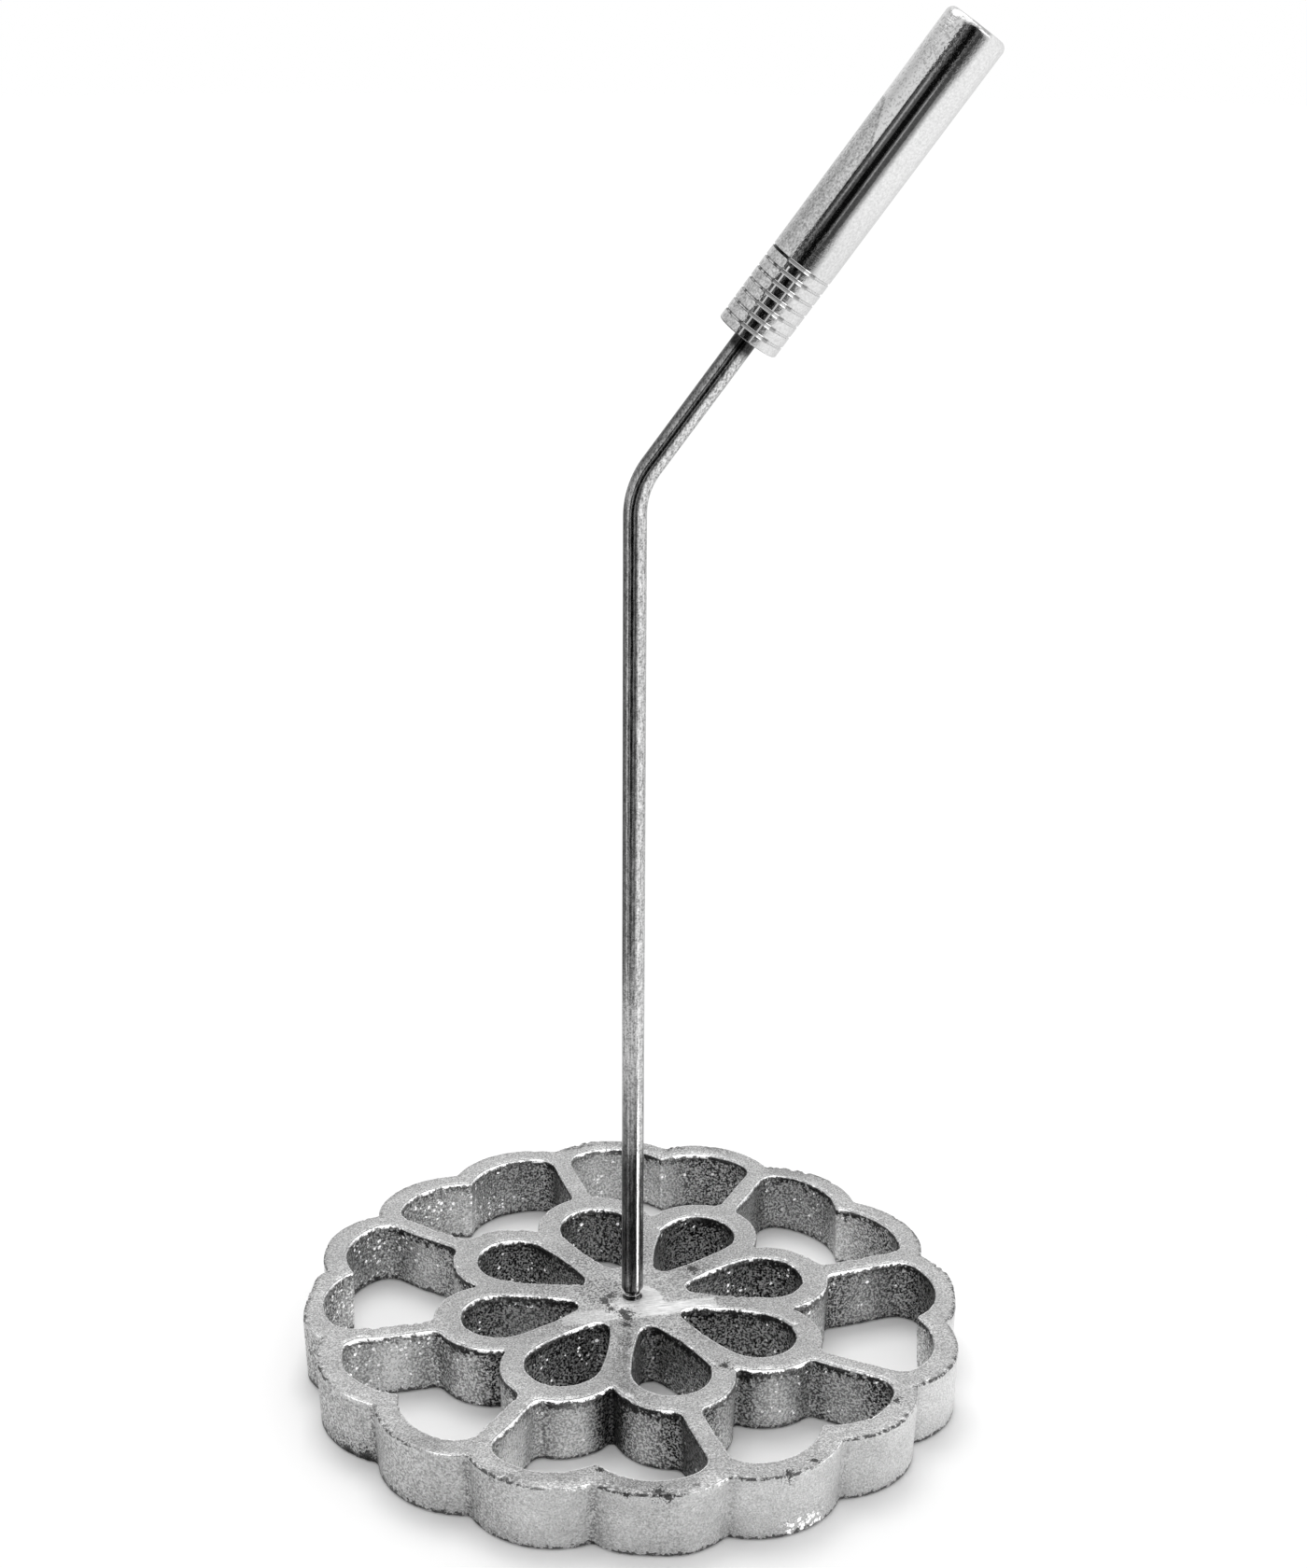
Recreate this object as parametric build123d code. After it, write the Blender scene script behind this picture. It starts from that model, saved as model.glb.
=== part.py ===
"""A rosette iron: a cast aluminium flower mould that is dipped in batter and fried, on a bent steel rod with a
turned aluminium handle. The rod's threaded end screws into the mould's hub.

Millimetres, +Z up. The origin is the middle of the mould's flat underside, on the axis of the rod's upright
stretch. The rod bends towards +X, in the XZ plane."""

import math
import os

from build123d import *

# The flower mould, seen from above
petals = 8                  # petals, spokes and outer cells, all in one casting
mould_radius = 76.3         # middle of a scallop's rim, from the rod's axis
scallop_rise = 4.2          # how far a scallop stands out from the cusps beside it
ring_wall = 5.9             # wall of the outer ring at the middle of a scallop
cusp_wall = 6.9             # wall of the outer ring at a cusp
spoke_width = 5.0           # from each petal's tip to the ring
flower_radius = 47.9        # petal tips, from the rod's axis
notch_depth = 10.2          # petal tips to the notch between two petals
petal_wall = 6.6            # from a petal's tip to the hole in it
web_width = 7.5             # between the wide ends of two petal holes
hub_radius = 13.4           # solid middle, out to the petal holes
hole_root_round = 2.4       # narrow end of a petal hole
hole_side_round = 60.0      # the long sides of a petal hole bulge by this radius
pattern_turn = 18.7         # degrees from the rod's bend to the first spoke

# The flower mould, seen from the side
mould_thickness = 15.8
draft = 2.0                 # degrees, every wall is thinner at the underside
ring_corner_round = 3.0     # between ring and spoke, inside an outer cell
petal_corner_round = 1.5    # between petal and spoke
cusp_round = 0.8            # at the cusps and the notches
edge_round = 0.5            # along every top edge

# The screw joint in the hub
thread_diameter = 4.0       # M4 x 0.7
thread_pitch = 0.7
engaged_turns = 12          # turns of thread inside the hub
bare_thread = 1.8           # thread that shows between the hub and the rod's shoulder
thread_clearance = 0.05     # all round, in the tapped hole
hole_spare_depth = 1.5      # below the thread's tip
hole_mouth_chamfer = 0.3
thread_tip_chamfer = 0.5

# The rod
rod_diameter = 5.0
shoulder_chamfer = 0.5
bend_height = 191.8         # from the hub's top to where the two straight axes cross
bend_angle = 35.7           # degrees away from upright
bend_radius = 18.0          # of the rod's axis
bare_slope = 38.7           # from that crossing, along the slope, to the handle

# The handle
handle_diameter = 13.8
handle_length = 74.5
rod_in_handle = 25.0        # the rod is pressed this deep into the blind bore
handle_end_round = 1.6      # at the closed upper end
handle_mouth_round = 0.3    # at the lower end
grooves = 7
first_groove = 2.35         # from the lower end
groove_pitch = 2.6
groove_radius = 0.3

# Worked out from the sizes above
half_cell = 180.0 / petals
half_scallop = half_cell / 2
thread_engaged = engaged_turns * thread_pitch
slope = Vector(math.sin(math.radians(bend_angle)), 0, math.cos(math.radians(bend_angle)))
bend_corner = Vector(0, 0, mould_thickness + bend_height)


def at(radius, degrees):
    """The point at this distance and direction from the rod's axis."""
    turn = math.radians(degrees)
    return Vector(radius * math.cos(turn), radius * math.sin(turn))


def circle_through(first, middle, last):
    """Centre and radius of the circle through three points."""
    turn = 2 * ((middle - first).X * (last - first).Y - (middle - first).Y * (last - first).X)
    near, far = (middle - first).length ** 2, (last - first).length ** 2
    centre = first + Vector(
        ((last - first).Y * near - (middle - first).Y * far) / turn,
        ((middle - first).X * far - (last - first).X * near) / turn,
    )
    return centre, (first - centre).length


def arc(centre, start, end):
    """The shorter arc round the centre from start to end."""
    middle = ((start + end) / 2 - centre).normalized()
    return ThreePointArc(start, centre + middle * (start - centre).length, end)


def crossing(centre, radius, line_turn, offset=0.0):
    """The outer point where a circle meets a line that runs outwards, parallel to the direction line_turn."""
    along, across = at(1, line_turn), at(1, line_turn + 90)
    from_line = centre.dot(across) - offset
    reach = centre.dot(along) + math.sqrt(radius ** 2 - from_line ** 2)
    return along * reach + across * offset


def drafted(section):
    """The solid between section(lean) at the underside and section(0) at the top. Lean is what the draft takes
    off the metal's walls at the underside."""
    lean = mould_thickness * math.tan(math.radians(draft))
    below, above = make_face(section(lean)), make_face(section(0))
    return loft([below, Pos(0, 0, mould_thickness) * above], ruled=True)


def round_upright(solid, points, radius):
    """The solid with the upright edges rounded that stand nearest to these points of the top section."""
    edges = [edge for edge in solid.edges() if abs((edge @ 0).Z - (edge @ 1).Z) > mould_thickness / 2]
    chosen = [ShapeList(edges).sort_by_distance(point + Vector(0, 0, mould_thickness))[0] for point in points]
    return fillet(chosen, radius)


def scallop_circle():
    """Centre and radius of the scallop between the directions 0 and half_cell."""
    cusp_radius = mould_radius - scallop_rise
    return circle_through(at(cusp_radius, 0), at(mould_radius, half_scallop), at(cusp_radius, half_cell))


def scalloped_disc():
    """The casting's outer form: a disc with two scallops to each cell."""
    centre, radius = scallop_circle()

    def section(lean):
        cusp_radius = crossing(centre, radius - lean, 0).length
        cusps = [at(cusp_radius, turn * half_cell) for turn in range(2 * petals + 1)]
        middles = [centre.rotate(Axis.Z, turn * half_cell) for turn in range(2 * petals)]
        return [arc(*ends) for ends in zip(middles, cusps, cusps[1:])]

    cusps = [at(mould_radius - scallop_rise, turn * half_cell) for turn in range(2 * petals)]
    return round_upright(drafted(section), cusps, cusp_round)


def outer_cell():
    """The opening between two spokes, with the ring outside it and two petals inside it. It lies along +X."""
    cusp_radius = mould_radius - scallop_rise - cusp_wall
    rim_centre, rim_radius = circle_through(
        at(cusp_radius, 0), at(mould_radius - ring_wall, half_scallop), at(cusp_radius, half_cell)
    )
    notch_radius = flower_radius - notch_depth
    petal_centre, petal_radius = circle_through(
        at(notch_radius, 0), at(flower_radius, half_cell), at(notch_radius, 2 * half_cell)
    )

    def corners(lean):
        """Ring cusp, ring at the spoke, petal at the spoke and notch, on the left half."""
        spoke_edge = lean - spoke_width / 2
        return (
            crossing(rim_centre, rim_radius + lean, 0),
            crossing(rim_centre, rim_radius + lean, half_cell, spoke_edge),
            crossing(petal_centre, petal_radius - lean, half_cell, spoke_edge),
            crossing(petal_centre, petal_radius - lean, 0),
        )

    def section(lean):
        outline = []
        for side in (1, -1):
            cusp, ring, petal, notch = (flipped(point, side) for point in corners(lean))
            outline += [
                arc(flipped(rim_centre, side), cusp, ring),
                Line(ring, petal),
                arc(flipped(petal_centre, side), petal, notch),
            ]
        return outline

    cell = drafted(section)
    cusp, ring, petal, notch = corners(0)
    cell = round_upright(cell, [ring, flipped(ring, -1)], ring_corner_round)
    cell = round_upright(cell, [petal, flipped(petal, -1)], petal_corner_round)
    return round_upright(cell, [cusp, notch], cusp_round)


def flipped(point, side):
    """The point itself on side 1, and its mirror image across the X axis on side -1."""
    return Vector(point.X, side * point.Y)


def petal_hole():
    """The drop-shaped hole in a petal, along +X, narrow towards the hub."""
    tip = flower_radius - petal_wall
    wide_middle = (tip + web_width / 2) / (1 + math.sin(math.radians(half_cell)))
    apart = wide_middle - hub_radius - hole_root_round

    def section(lean):
        root_round, side_round, wide_round = hole_root_round + lean, hole_side_round + lean, tip - wide_middle + lean
        root, wide = Vector(wide_middle - apart, 0), Vector(wide_middle, 0)
        # the centre of the left side's arc, which runs on smoothly from both end circles
        to_root, to_wide = side_round - root_round, side_round - wide_round
        along = (to_root ** 2 - to_wide ** 2 + apart ** 2) / (2 * apart)
        side_middle = root + Vector(along, -math.sqrt(to_root ** 2 - along ** 2))
        root_touch = side_middle + (root - side_middle).normalized() * side_round
        wide_touch = side_middle + (wide - side_middle).normalized() * side_round
        return [
            arc(side_middle, root_touch, wide_touch),
            ThreePointArc(wide_touch, wide + Vector(wide_round, 0), flipped(wide_touch, -1)),
            arc(flipped(side_middle, -1), flipped(wide_touch, -1), flipped(root_touch, -1)),
            ThreePointArc(flipped(root_touch, -1), root - Vector(root_round, 0), root_touch),
        ]

    return drafted(section)


def tapped_hole():
    """The blind hole for the rod's thread, with a small countersink at its mouth."""
    radius = thread_diameter / 2 + thread_clearance
    depth = thread_engaged + hole_spare_depth
    mouth = mould_thickness - hole_mouth_chamfer
    hole = Pos(0, 0, mould_thickness - depth) * Cylinder(radius, depth, align=(Align.CENTER, Align.CENTER, Align.MIN))
    return hole + Pos(0, 0, mouth) * Cone(
        radius, radius + hole_mouth_chamfer, hole_mouth_chamfer, align=(Align.CENTER, Align.CENTER, Align.MIN)
    )


def rosette_mould():
    """The whole casting, with its spokes turned to their place beside the rod's bend."""
    casting = scalloped_disc()
    cell, hole = outer_cell(), petal_hole()
    for petal in range(petals):
        casting -= Rot(0, 0, petal * 2 * half_cell + half_cell) * cell
        casting -= Rot(0, 0, petal * 2 * half_cell) * hole
    top_edges = casting.faces().sort_by(Axis.Z)[-1].edges()
    casting = fillet(top_edges, edge_round)
    return Rot(0, 0, pattern_turn) * (casting - tapped_hole())


def threaded_end():
    """The thread turned on the rod's lower end, as a plain cylinder of the thread's outer diameter."""
    length = thread_engaged + bare_thread
    thread = Pos(0, 0, mould_thickness - thread_engaged) * Cylinder(
        thread_diameter / 2, length, align=(Align.CENTER, Align.CENTER, Align.MIN)
    )
    return chamfer(thread.edges().sort_by(Axis.Z)[0], thread_tip_chamfer)


def rod():
    """Upright from the shoulder, one bend, then a slope that ends inside the handle."""
    foot = Vector(0, 0, mould_thickness + bare_thread)
    end = bend_corner + slope * (bare_slope + rod_in_handle)
    path = FilletPolyline(foot, bend_corner, end, radius=bend_radius)
    bar = sweep(Plane(origin=foot, z_dir=(0, 0, 1)) * Circle(rod_diameter / 2), path=path)
    return chamfer(bar.edges().sort_by(Axis.Z)[0], shoulder_chamfer)


def handle():
    """A turned bar with a blind bore for the rod, grooves near its mouth and a rounded closed end."""
    radius = handle_diameter / 2
    bar = Cylinder(radius, handle_length, align=(Align.CENTER, Align.CENTER, Align.MIN))
    bar = fillet(bar.edges().sort_by(Axis.Z)[-1], handle_end_round)
    bar = fillet(bar.edges().sort_by(Axis.Z)[0], handle_mouth_round)
    bar -= Cylinder(rod_diameter / 2, rod_in_handle, align=(Align.CENTER, Align.CENTER, Align.MIN))
    for groove in range(grooves):
        bar -= Pos(0, 0, first_groove + groove * groove_pitch) * Torus(radius, groove_radius)
    return Plane(origin=bend_corner + slope * bare_slope, x_dir=(0, 1, 0), z_dir=slope) * bar


pieces = {
    "rosette_mould": rosette_mould(),
    "threaded_end": threaded_end(),
    "rod": rod(),
    "handle": handle(),
}

os.makedirs("parts", exist_ok=True)
for name, piece in pieces.items():
    export_step(piece, f"parts/{name}.step")
    box = piece.bounding_box()
    print(f"{name}: {len(piece.solids())} solid, {piece.volume / 1000:.2f} cm3,", box.min, box.max)
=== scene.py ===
# %% [markdown]
# A rosette iron, dressed for the camera. The real thing is a flower cast in aluminium, screwed onto a bent
# steel rod that ends in a turned aluminium handle. You dip it in hot oil, then in batter, and a crisp pastry
# flower forms on it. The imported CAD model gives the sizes, the bodies and the joints. This file gives each
# piece a mesh with the marks of its making, a finish, and a plain studio to stand in.

# %% Load the frame
import math
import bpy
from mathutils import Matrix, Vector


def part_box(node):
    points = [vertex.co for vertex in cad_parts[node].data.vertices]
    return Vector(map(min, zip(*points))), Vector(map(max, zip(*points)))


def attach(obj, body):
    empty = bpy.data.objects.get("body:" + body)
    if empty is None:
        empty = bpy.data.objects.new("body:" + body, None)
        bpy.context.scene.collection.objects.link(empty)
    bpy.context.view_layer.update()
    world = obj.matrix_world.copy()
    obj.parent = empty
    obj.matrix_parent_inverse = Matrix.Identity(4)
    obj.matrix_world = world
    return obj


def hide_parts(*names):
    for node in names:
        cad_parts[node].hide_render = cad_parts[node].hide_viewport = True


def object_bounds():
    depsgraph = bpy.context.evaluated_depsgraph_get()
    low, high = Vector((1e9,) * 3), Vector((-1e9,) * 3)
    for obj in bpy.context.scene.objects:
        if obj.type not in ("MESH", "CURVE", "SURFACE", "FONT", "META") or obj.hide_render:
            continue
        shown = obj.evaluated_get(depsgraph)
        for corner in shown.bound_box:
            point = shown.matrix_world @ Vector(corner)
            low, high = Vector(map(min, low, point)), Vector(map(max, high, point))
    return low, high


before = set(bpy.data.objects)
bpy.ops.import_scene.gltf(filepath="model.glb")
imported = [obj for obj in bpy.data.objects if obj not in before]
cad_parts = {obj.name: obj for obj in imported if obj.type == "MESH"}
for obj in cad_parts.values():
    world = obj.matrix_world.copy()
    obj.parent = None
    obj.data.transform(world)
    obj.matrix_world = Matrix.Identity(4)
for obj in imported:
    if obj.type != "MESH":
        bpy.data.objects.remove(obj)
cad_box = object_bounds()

from types import SimpleNamespace

import bpy
import numpy as np
from mathutils import Matrix, Vector, geometry, kdtree, noise

MM = 0.001
mould_high = np.array(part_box("rosette_mould")[1]) / MM
rod_low = np.array(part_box("rod")[0]) / MM
top = mould_high[2]
tall = round((cad_box[1].z - cad_box[0].z) / MM)
print(len(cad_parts), "CAD nodes. The mould is", round(top, 2), "mm thick, the iron", tall, "mm tall")

# %% [markdown]
# The camera stands where the real one stood: almost straight in front of the bend, looking down by a fifth of
# a right angle, from only two object heights away. That near stand is what makes the mould's front lobes look
# large. The camera's matrix is built from its own right, up and back directions, which is easier to check
# than angles.

# %% Place the camera
photo_size = (1400, 1680)
view_azimuth = 2.256        # degrees round from straight in front
view_elevation = 19.922
view_roll = 0.369
view_distance = 566.73      # mm
focal_length_px = 2602.33
aim_right = 4.954           # mm, from the hub's top to the middle of the picture
aim_up = 119.22

azimuth, elevation, roll = (math.radians(angle) for angle in (view_azimuth, view_elevation, view_roll))
level = math.cos(elevation)
back = Vector((math.sin(azimuth) * level, -math.cos(azimuth) * level, math.sin(elevation)))
level_right = Vector((math.cos(azimuth), math.sin(azimuth), 0))
level_up = back.cross(level_right)
right = level_right * math.cos(roll) + level_up * math.sin(roll)
up = level_up * math.cos(roll) - level_right * math.sin(roll)

camera_data = bpy.data.cameras.new("camera")
camera_data.sensor_width = 36
camera_data.lens = focal_length_px * camera_data.sensor_width / photo_size[1]
camera_data.clip_start = 0.01
camera_data.clip_end = 50
camera = bpy.data.objects.new("camera", camera_data)
stand = Vector((0, 0, top)) + right * aim_right + up * aim_up + back * view_distance
camera.matrix_world = Matrix.Translation(stand * MM) @ Matrix((right, up, back)).transposed().to_4x4()
bpy.context.scene.collection.objects.link(camera)
bpy.context.scene.camera = camera
print("the lens is", round(camera_data.lens, 1), "mm, and the camera stands", round(stand.z), "mm high")

# %% [markdown]
# Materials are built from nodes, and most of the nodes here do sums. Wiring each one by hand would hide what
# is worked out. So a node's output is wrapped in a Field: a number or colour that varies from place to place.
# Fields add, multiply and compare like plain numbers, and each sum quietly makes its node.

# %% Fields: sums with nodes
class Field:
    """A number or colour that varies from place to place: one output of a node."""

    def __init__(self, socket):
        self.socket = socket

    def __add__(self, other):
        return compute("ADD", self, other)

    def __sub__(self, other):
        return compute("SUBTRACT", self, other)

    def __rsub__(self, other):
        return compute("SUBTRACT", other, self)

    def __mul__(self, other):
        return compute("MULTIPLY", self, other)

    def __gt__(self, other):
        return compute("GREATER_THAN", self, other)

    def __lt__(self, other):
        return compute("LESS_THAN", self, other)

    def __abs__(self):
        return compute("ABSOLUTE", self)


def add(tree, kind, inputs=None, **settings):
    """A new node. Inputs are numbers, colours, fields or sockets, by name or by place."""
    made = tree.nodes.new("ShaderNode" + kind)
    for name, value in settings.items():
        setattr(made, name, value)
    for name, value in (inputs or {}).items():
        value = value.socket if isinstance(value, Field) else value
        if isinstance(value, bpy.types.NodeSocket):
            tree.links.new(value, made.inputs[name])
        else:
            made.inputs[name].default_value = value
    return made


def tree_of(*values):
    """The node tree that the first field among the values lives in."""
    return next(value.socket.id_data for value in values if isinstance(value, Field))


def compute(operation, first, second=0.0, third=0.0):
    """The result of one sum or product of fields and numbers."""
    inputs = {0: first, 1: second, 2: third}
    return Field(add(tree_of(first, second), "Math", inputs, operation=operation).outputs[0])


def larger(first, second):
    """The larger of two values, at each place."""
    return compute("MAXIMUM", first, second)


def smaller(first, second):
    """The smaller of two values, at each place."""
    return compute("MINIMUM", first, second)


print("a field adds, subtracts, multiplies and compares")

# %% [markdown]
# Nearly every finish starts with two steps: take a number from one range into another, and mix two colours
# with it. The helpers take a range as a pair, so that a pair can have a name. Noise stays close to 0.5,
# mostly between 0.3 and 0.7. So the narrower the first range is for a noise, the harder the contrast that
# comes out.

# %% Helpers for numbers and colours
def mm(*values):
    """Lengths in mm as the metres that Blender works in."""
    return tuple(value * MM for value in values)


def grey(value):
    """An opaque grey."""
    return (value, value, value, 1)


def spread(value, source, target=(0.0, 1.0), smooth=True):
    """The value taken from the source range into the target range, and held at its ends."""
    ends = {"From Min": source[0], "From Max": source[1], "To Min": target[0], "To Max": target[1]}
    kind = "SMOOTHSTEP" if smooth else "LINEAR"
    made = add(tree_of(value), "MapRange", {"Value": value, **ends}, interpolation_type=kind)
    return Field(made.outputs[0])


def varied(noise_field, source, target):
    """The same in a straight line. It suits noise, whose source range sets the contrast."""
    return spread(noise_field, source, target, smooth=False)


def mixed(share, first, second):
    """A colour between two colours."""
    made = add(tree_of(share, first, second), "Mix", {0: share, 6: first, 7: second}, data_type="RGBA")
    return Field(made.outputs[2])


def as_colour(tone):
    """A tone as a grey colour."""
    return mixed(1.0, grey(0), tone)


print("a grey has", len(grey(0.5)), "numbers, and 5 mm are", mm(5)[0], "m")

# %% [markdown]
# Noise of a known grain is laid over a piece in its own coordinates, so it moves with the piece. A place can
# ask how far it is from a point, or read the marks that the mesh code left on the points.

# %% Helpers for places
def vectors(operation, *values):
    """The result of one step with vectors: a vector, or a number for a length or a distance."""
    made = add(tree_of(*values), "VectorMath", dict(enumerate(values)), operation=operation)
    return Field(made.outputs["Value" if operation in ("LENGTH", "DISTANCE") else "Vector"])


def split(vector):
    """A vector's three numbers."""
    return [Field(socket) for socket in add(tree_of(vector), "SeparateXYZ", {0: vector}).outputs]


def turned_place(place, turns, scale=1.0):
    """The place in axes that are turned by these degrees, and scaled."""
    ways = {"Vector": place, "Rotation": tuple(math.radians(turn) for turn in turns), "Scale": (scale,) * 3}
    return Field(add(tree_of(place), "Mapping", ways).outputs[0])


def grains(place, size, detail=2.0, roughness=0.5, stretch=(1, 1, 1)):
    """Noise whose grains measure about this many mm, longer along an axis that stretch makes longer."""
    squeezed = vectors("MULTIPLY", place, tuple(1 / long for long in stretch))
    ways = {"Vector": squeezed, "Scale": 1 / (size * MM), "Detail": detail, "Roughness": roughness}
    return Field(add(tree_of(place), "TexNoise", ways).outputs["Fac"])


def away_from(place, point):
    """How many mm a place is from a point. A point with two numbers lies at height 0."""
    return vectors("DISTANCE", place, mm(*point, 0)[:3]) * (1 / MM)


def marked(tree, name):
    """A mark of the mesh's points, which says what was done to the metal there."""
    return Field(add(tree, "Attribute", attribute_name=name).outputs["Fac"])


def degrees_round(direction):
    """How many degrees a direction lies round to the right of straight in front."""
    to_right, to_back, _ = split(direction)
    return compute("ARCTAN2", to_right, to_back * -1.0) * (180 / math.pi)


print("the middle of the mould's top is at", mm(0, 0, top), "in metres")

# %% [markdown]
# The last helpers are about surfaces. A relief made of noise tips the normals, which is much cheaper than
# real bumps of half a millimetre. All three metals end in the same shader, which takes a colour, a roughness
# and a normal.

# %% Helpers for surfaces
def shader(tree, kind, inputs=None):
    """A shader node's output."""
    return add(tree, kind, inputs).outputs[0]


def new_material(name):
    """An empty material with its tree."""
    material = bpy.data.materials.new(name)
    material.use_nodes = True
    material.node_tree.nodes.clear()
    return material, material.node_tree


def show(tree, surface):
    """Sends a shader to the material's output."""
    add(tree, "OutputMaterial", {"Surface": surface})


def bumped(relief, depth):
    """The normal of a surface with this relief, whose depth is in mm."""
    ways = {"Height": relief, "Strength": 1.0, "Distance": depth * MM}
    return Field(add(tree_of(relief), "Bump", ways).outputs[0])


def lifted_by(normal, lift):
    """The normal, tipped upwards."""
    tipped = Field(add(tree_of(normal), "CombineXYZ", {0: 0.0, 1: 0.0, 2: lift}).outputs[0])
    return vectors("NORMALIZE", vectors("ADD", normal, tipped))


def show_metal(tree, colour, metallic, roughness, normal):
    """Sends a metal surface to the material's output."""
    ways = {"Base Color": colour, "Metallic": metallic, "Roughness": roughness, "Normal": normal}
    show(tree, shader(tree, "BsdfPrincipled", ways))


print("helpers for finishes are ready")

# %% [markdown]
# The studio is a white table under a broad soft light. Polished metal has no look of its own: it shows what
# stands round it. The photographed rod and handle mirror a bright card on the right, a duller wall on the
# left, and between them the dark front of the room with the camera in it. Overhead it is bright, most of all
# halfway up. A world whose brightness depends on the direction does this, in degrees round and up.

# %% Walls and ceiling of the room
left_wall = 0.66
far_left_wall = 0.45
left_corner = (-125, -60)           # degrees round, between which the one wall turns into the other
right_card = 0.95
card_edge = (10, 40)
back_wall = 0.76
back_corner = (100, 175)
beyond_table = 0.16                 # it is dim past the left end of the table
table_end = (-95, -62)
table_horizon = (-10, 0)            # degrees up
ceiling = 2.0
ceiling_edge = (36, 58)             # degrees up
front_ceiling_rise = 24             # degrees that the ceiling starts higher in front
front_corner = (60, 100)
overhead = 0.9                      # straight above the iron it is dimmer
overhead_edge = (68, 80)
print("the ceiling is", round(ceiling / right_card, 1), "times as bright as the card on the right")

# %% [markdown]
# In front of the iron stand tall narrow shapes, some light and some dark. The round bars squeeze each of them
# into a long stripe, and such stripes are what makes a bar look like polished metal. They lean, as the
# stripes on the handle do, and a list with one line for each is easy to change.

# %% What stands in front, and the whole room
# what stands in front of the iron: middle and half width in degrees from the front towards the right, how
# blurred its edges are, how far it leans to the right for each degree of height, and its brightness
front_shapes = {
    "curtain": (28.0, 13.0, 20.0, 0.45, 0.30),
    "dark end of the room": (-13.5, 40.5, 4.0, 0.45, 0.075),
    "door frame": (-50.5, 2.5, 3.0, 0.45, 0.015),
    "lit doorway": (-35.5, 2.6, 8.0, 0.45, 0.42),
    "camera stand": (-12.0, 11.5, 4.0, 0.75, 0.004),
    "gap beside the stand": (7.5, 2.5, 4.0, 0.75, 0.33),
}
front_foot = (-36.0, -16.0)         # degrees up, between which they appear
front_head = (44.0, 52.0)           # and between which they end
lamp_place = (65.0, 30.0)           # degrees round and up of a square lamp on the right
lamp_edge = (10.0, 16.0)            # degrees from its middle
lamp_bright = 3.0


def room(around, height):
    """The brightness of the room in a direction, given in degrees round and up."""
    bright = spread(around, left_corner, (far_left_wall, left_wall))
    bright = mixed(spread(around, card_edge), bright, grey(right_card))
    bright = mixed(spread(abs(around), back_corner), bright, grey(back_wall))
    dim = spread(around, table_end, (1, 0)) * spread(height, table_horizon, (1, 0))
    bright = mixed(dim, bright, grey(beyond_table))
    reach = spread(height, front_foot) * spread(height, front_head, (1, 0))
    for middle, half_width, blur, lean, value in front_shapes.values():
        away = abs(compute("MULTIPLY_ADD", height, -lean, around) - middle)
        inside = spread(away, (half_width - blur / 2, half_width + blur / 2), (1, 0))
        bright = mixed(inside * reach, bright, grey(value))
    above_front = height - spread(abs(around), front_corner, (front_ceiling_rise, 0))
    bright = mixed(spread(above_front, ceiling_edge), bright, grey(ceiling))
    bright = mixed(spread(height, overhead_edge), bright, grey(overhead))
    sideways, upwards = abs(around - lamp_place[0]), abs(height - lamp_place[1])
    in_lamp = spread(sideways, lamp_edge, (1, 0)) * spread(upwards, lamp_edge, (1, 0))
    return mixed(in_lamp, bright, grey(lamp_bright))


print("the room has", len(front_shapes), "shapes in front")

# %% [markdown]
# The world node tree shows that room to mirrored rays alone. Rays from the camera see plain white, which is
# the background of the picture. All other rays see an even soft light, so that the table's shadows have no
# direction.

# %% Light from all round
soft_light = 0.80           # how bright the room is for everything that isn't mirrored


def build_world():
    """White for the camera, even for soft light, and the room for mirrored rays."""
    world = bpy.data.worlds.new("room")
    bpy.context.scene.world = world
    world.use_nodes = True
    tree = world.node_tree
    tree.nodes.clear()
    direction = Field(add(tree, "TexCoord").outputs["Generated"])
    height = compute("ARCSINE", split(direction)[2]) * (180 / math.pi)
    path = add(tree, "LightPath")
    mirrored = shader(tree, "Background", {"Color": room(degrees_round(direction), height), "Strength": 1.0})
    even = shader(tree, "Background", {"Color": grey(1), "Strength": soft_light})
    white = shader(tree, "Background", {"Color": grey(1), "Strength": 1.0})
    lit = shader(tree, "MixShader", {0: path.outputs["Is Glossy Ray"], 1: even, 2: mirrored})
    seen = shader(tree, "MixShader", {0: path.outputs["Is Camera Ray"], 1: lit, 2: white})
    add(tree, "OutputWorld", {"Surface": seen})
    world.cycles.sampling_method = "NONE"
    return world


print("the world is called", build_world().name)

# %% [markdown]
# The table is a wide white disc. Near the iron it is matt paint, which takes the soft shadow. Further out,
# the camera sees a white that is its own light, which runs into the white background. A mirror-like rod would
# see the table for a metre round, but the photographed one shows the dark front of the room there. So past
# the near table, mirrored rays go through.

# %% Set the table
table_radius = 4.0          # metres
table_gap = 0.0001          # below the iron, so that the two faces don't fight
table_points = 96
near_table = (0.12, 0.24)   # metres, where mirrored rays stop seeing the table
shadow_shares = (0.92, 0.0)     # how much of the table's brightness a shadow can take, near and far
shadow_reach = (0.085, 0.20)    # metres over which that changes
table_white = 0.98
table_lift = 1.03           # makes up for what the soft light lacks


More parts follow.
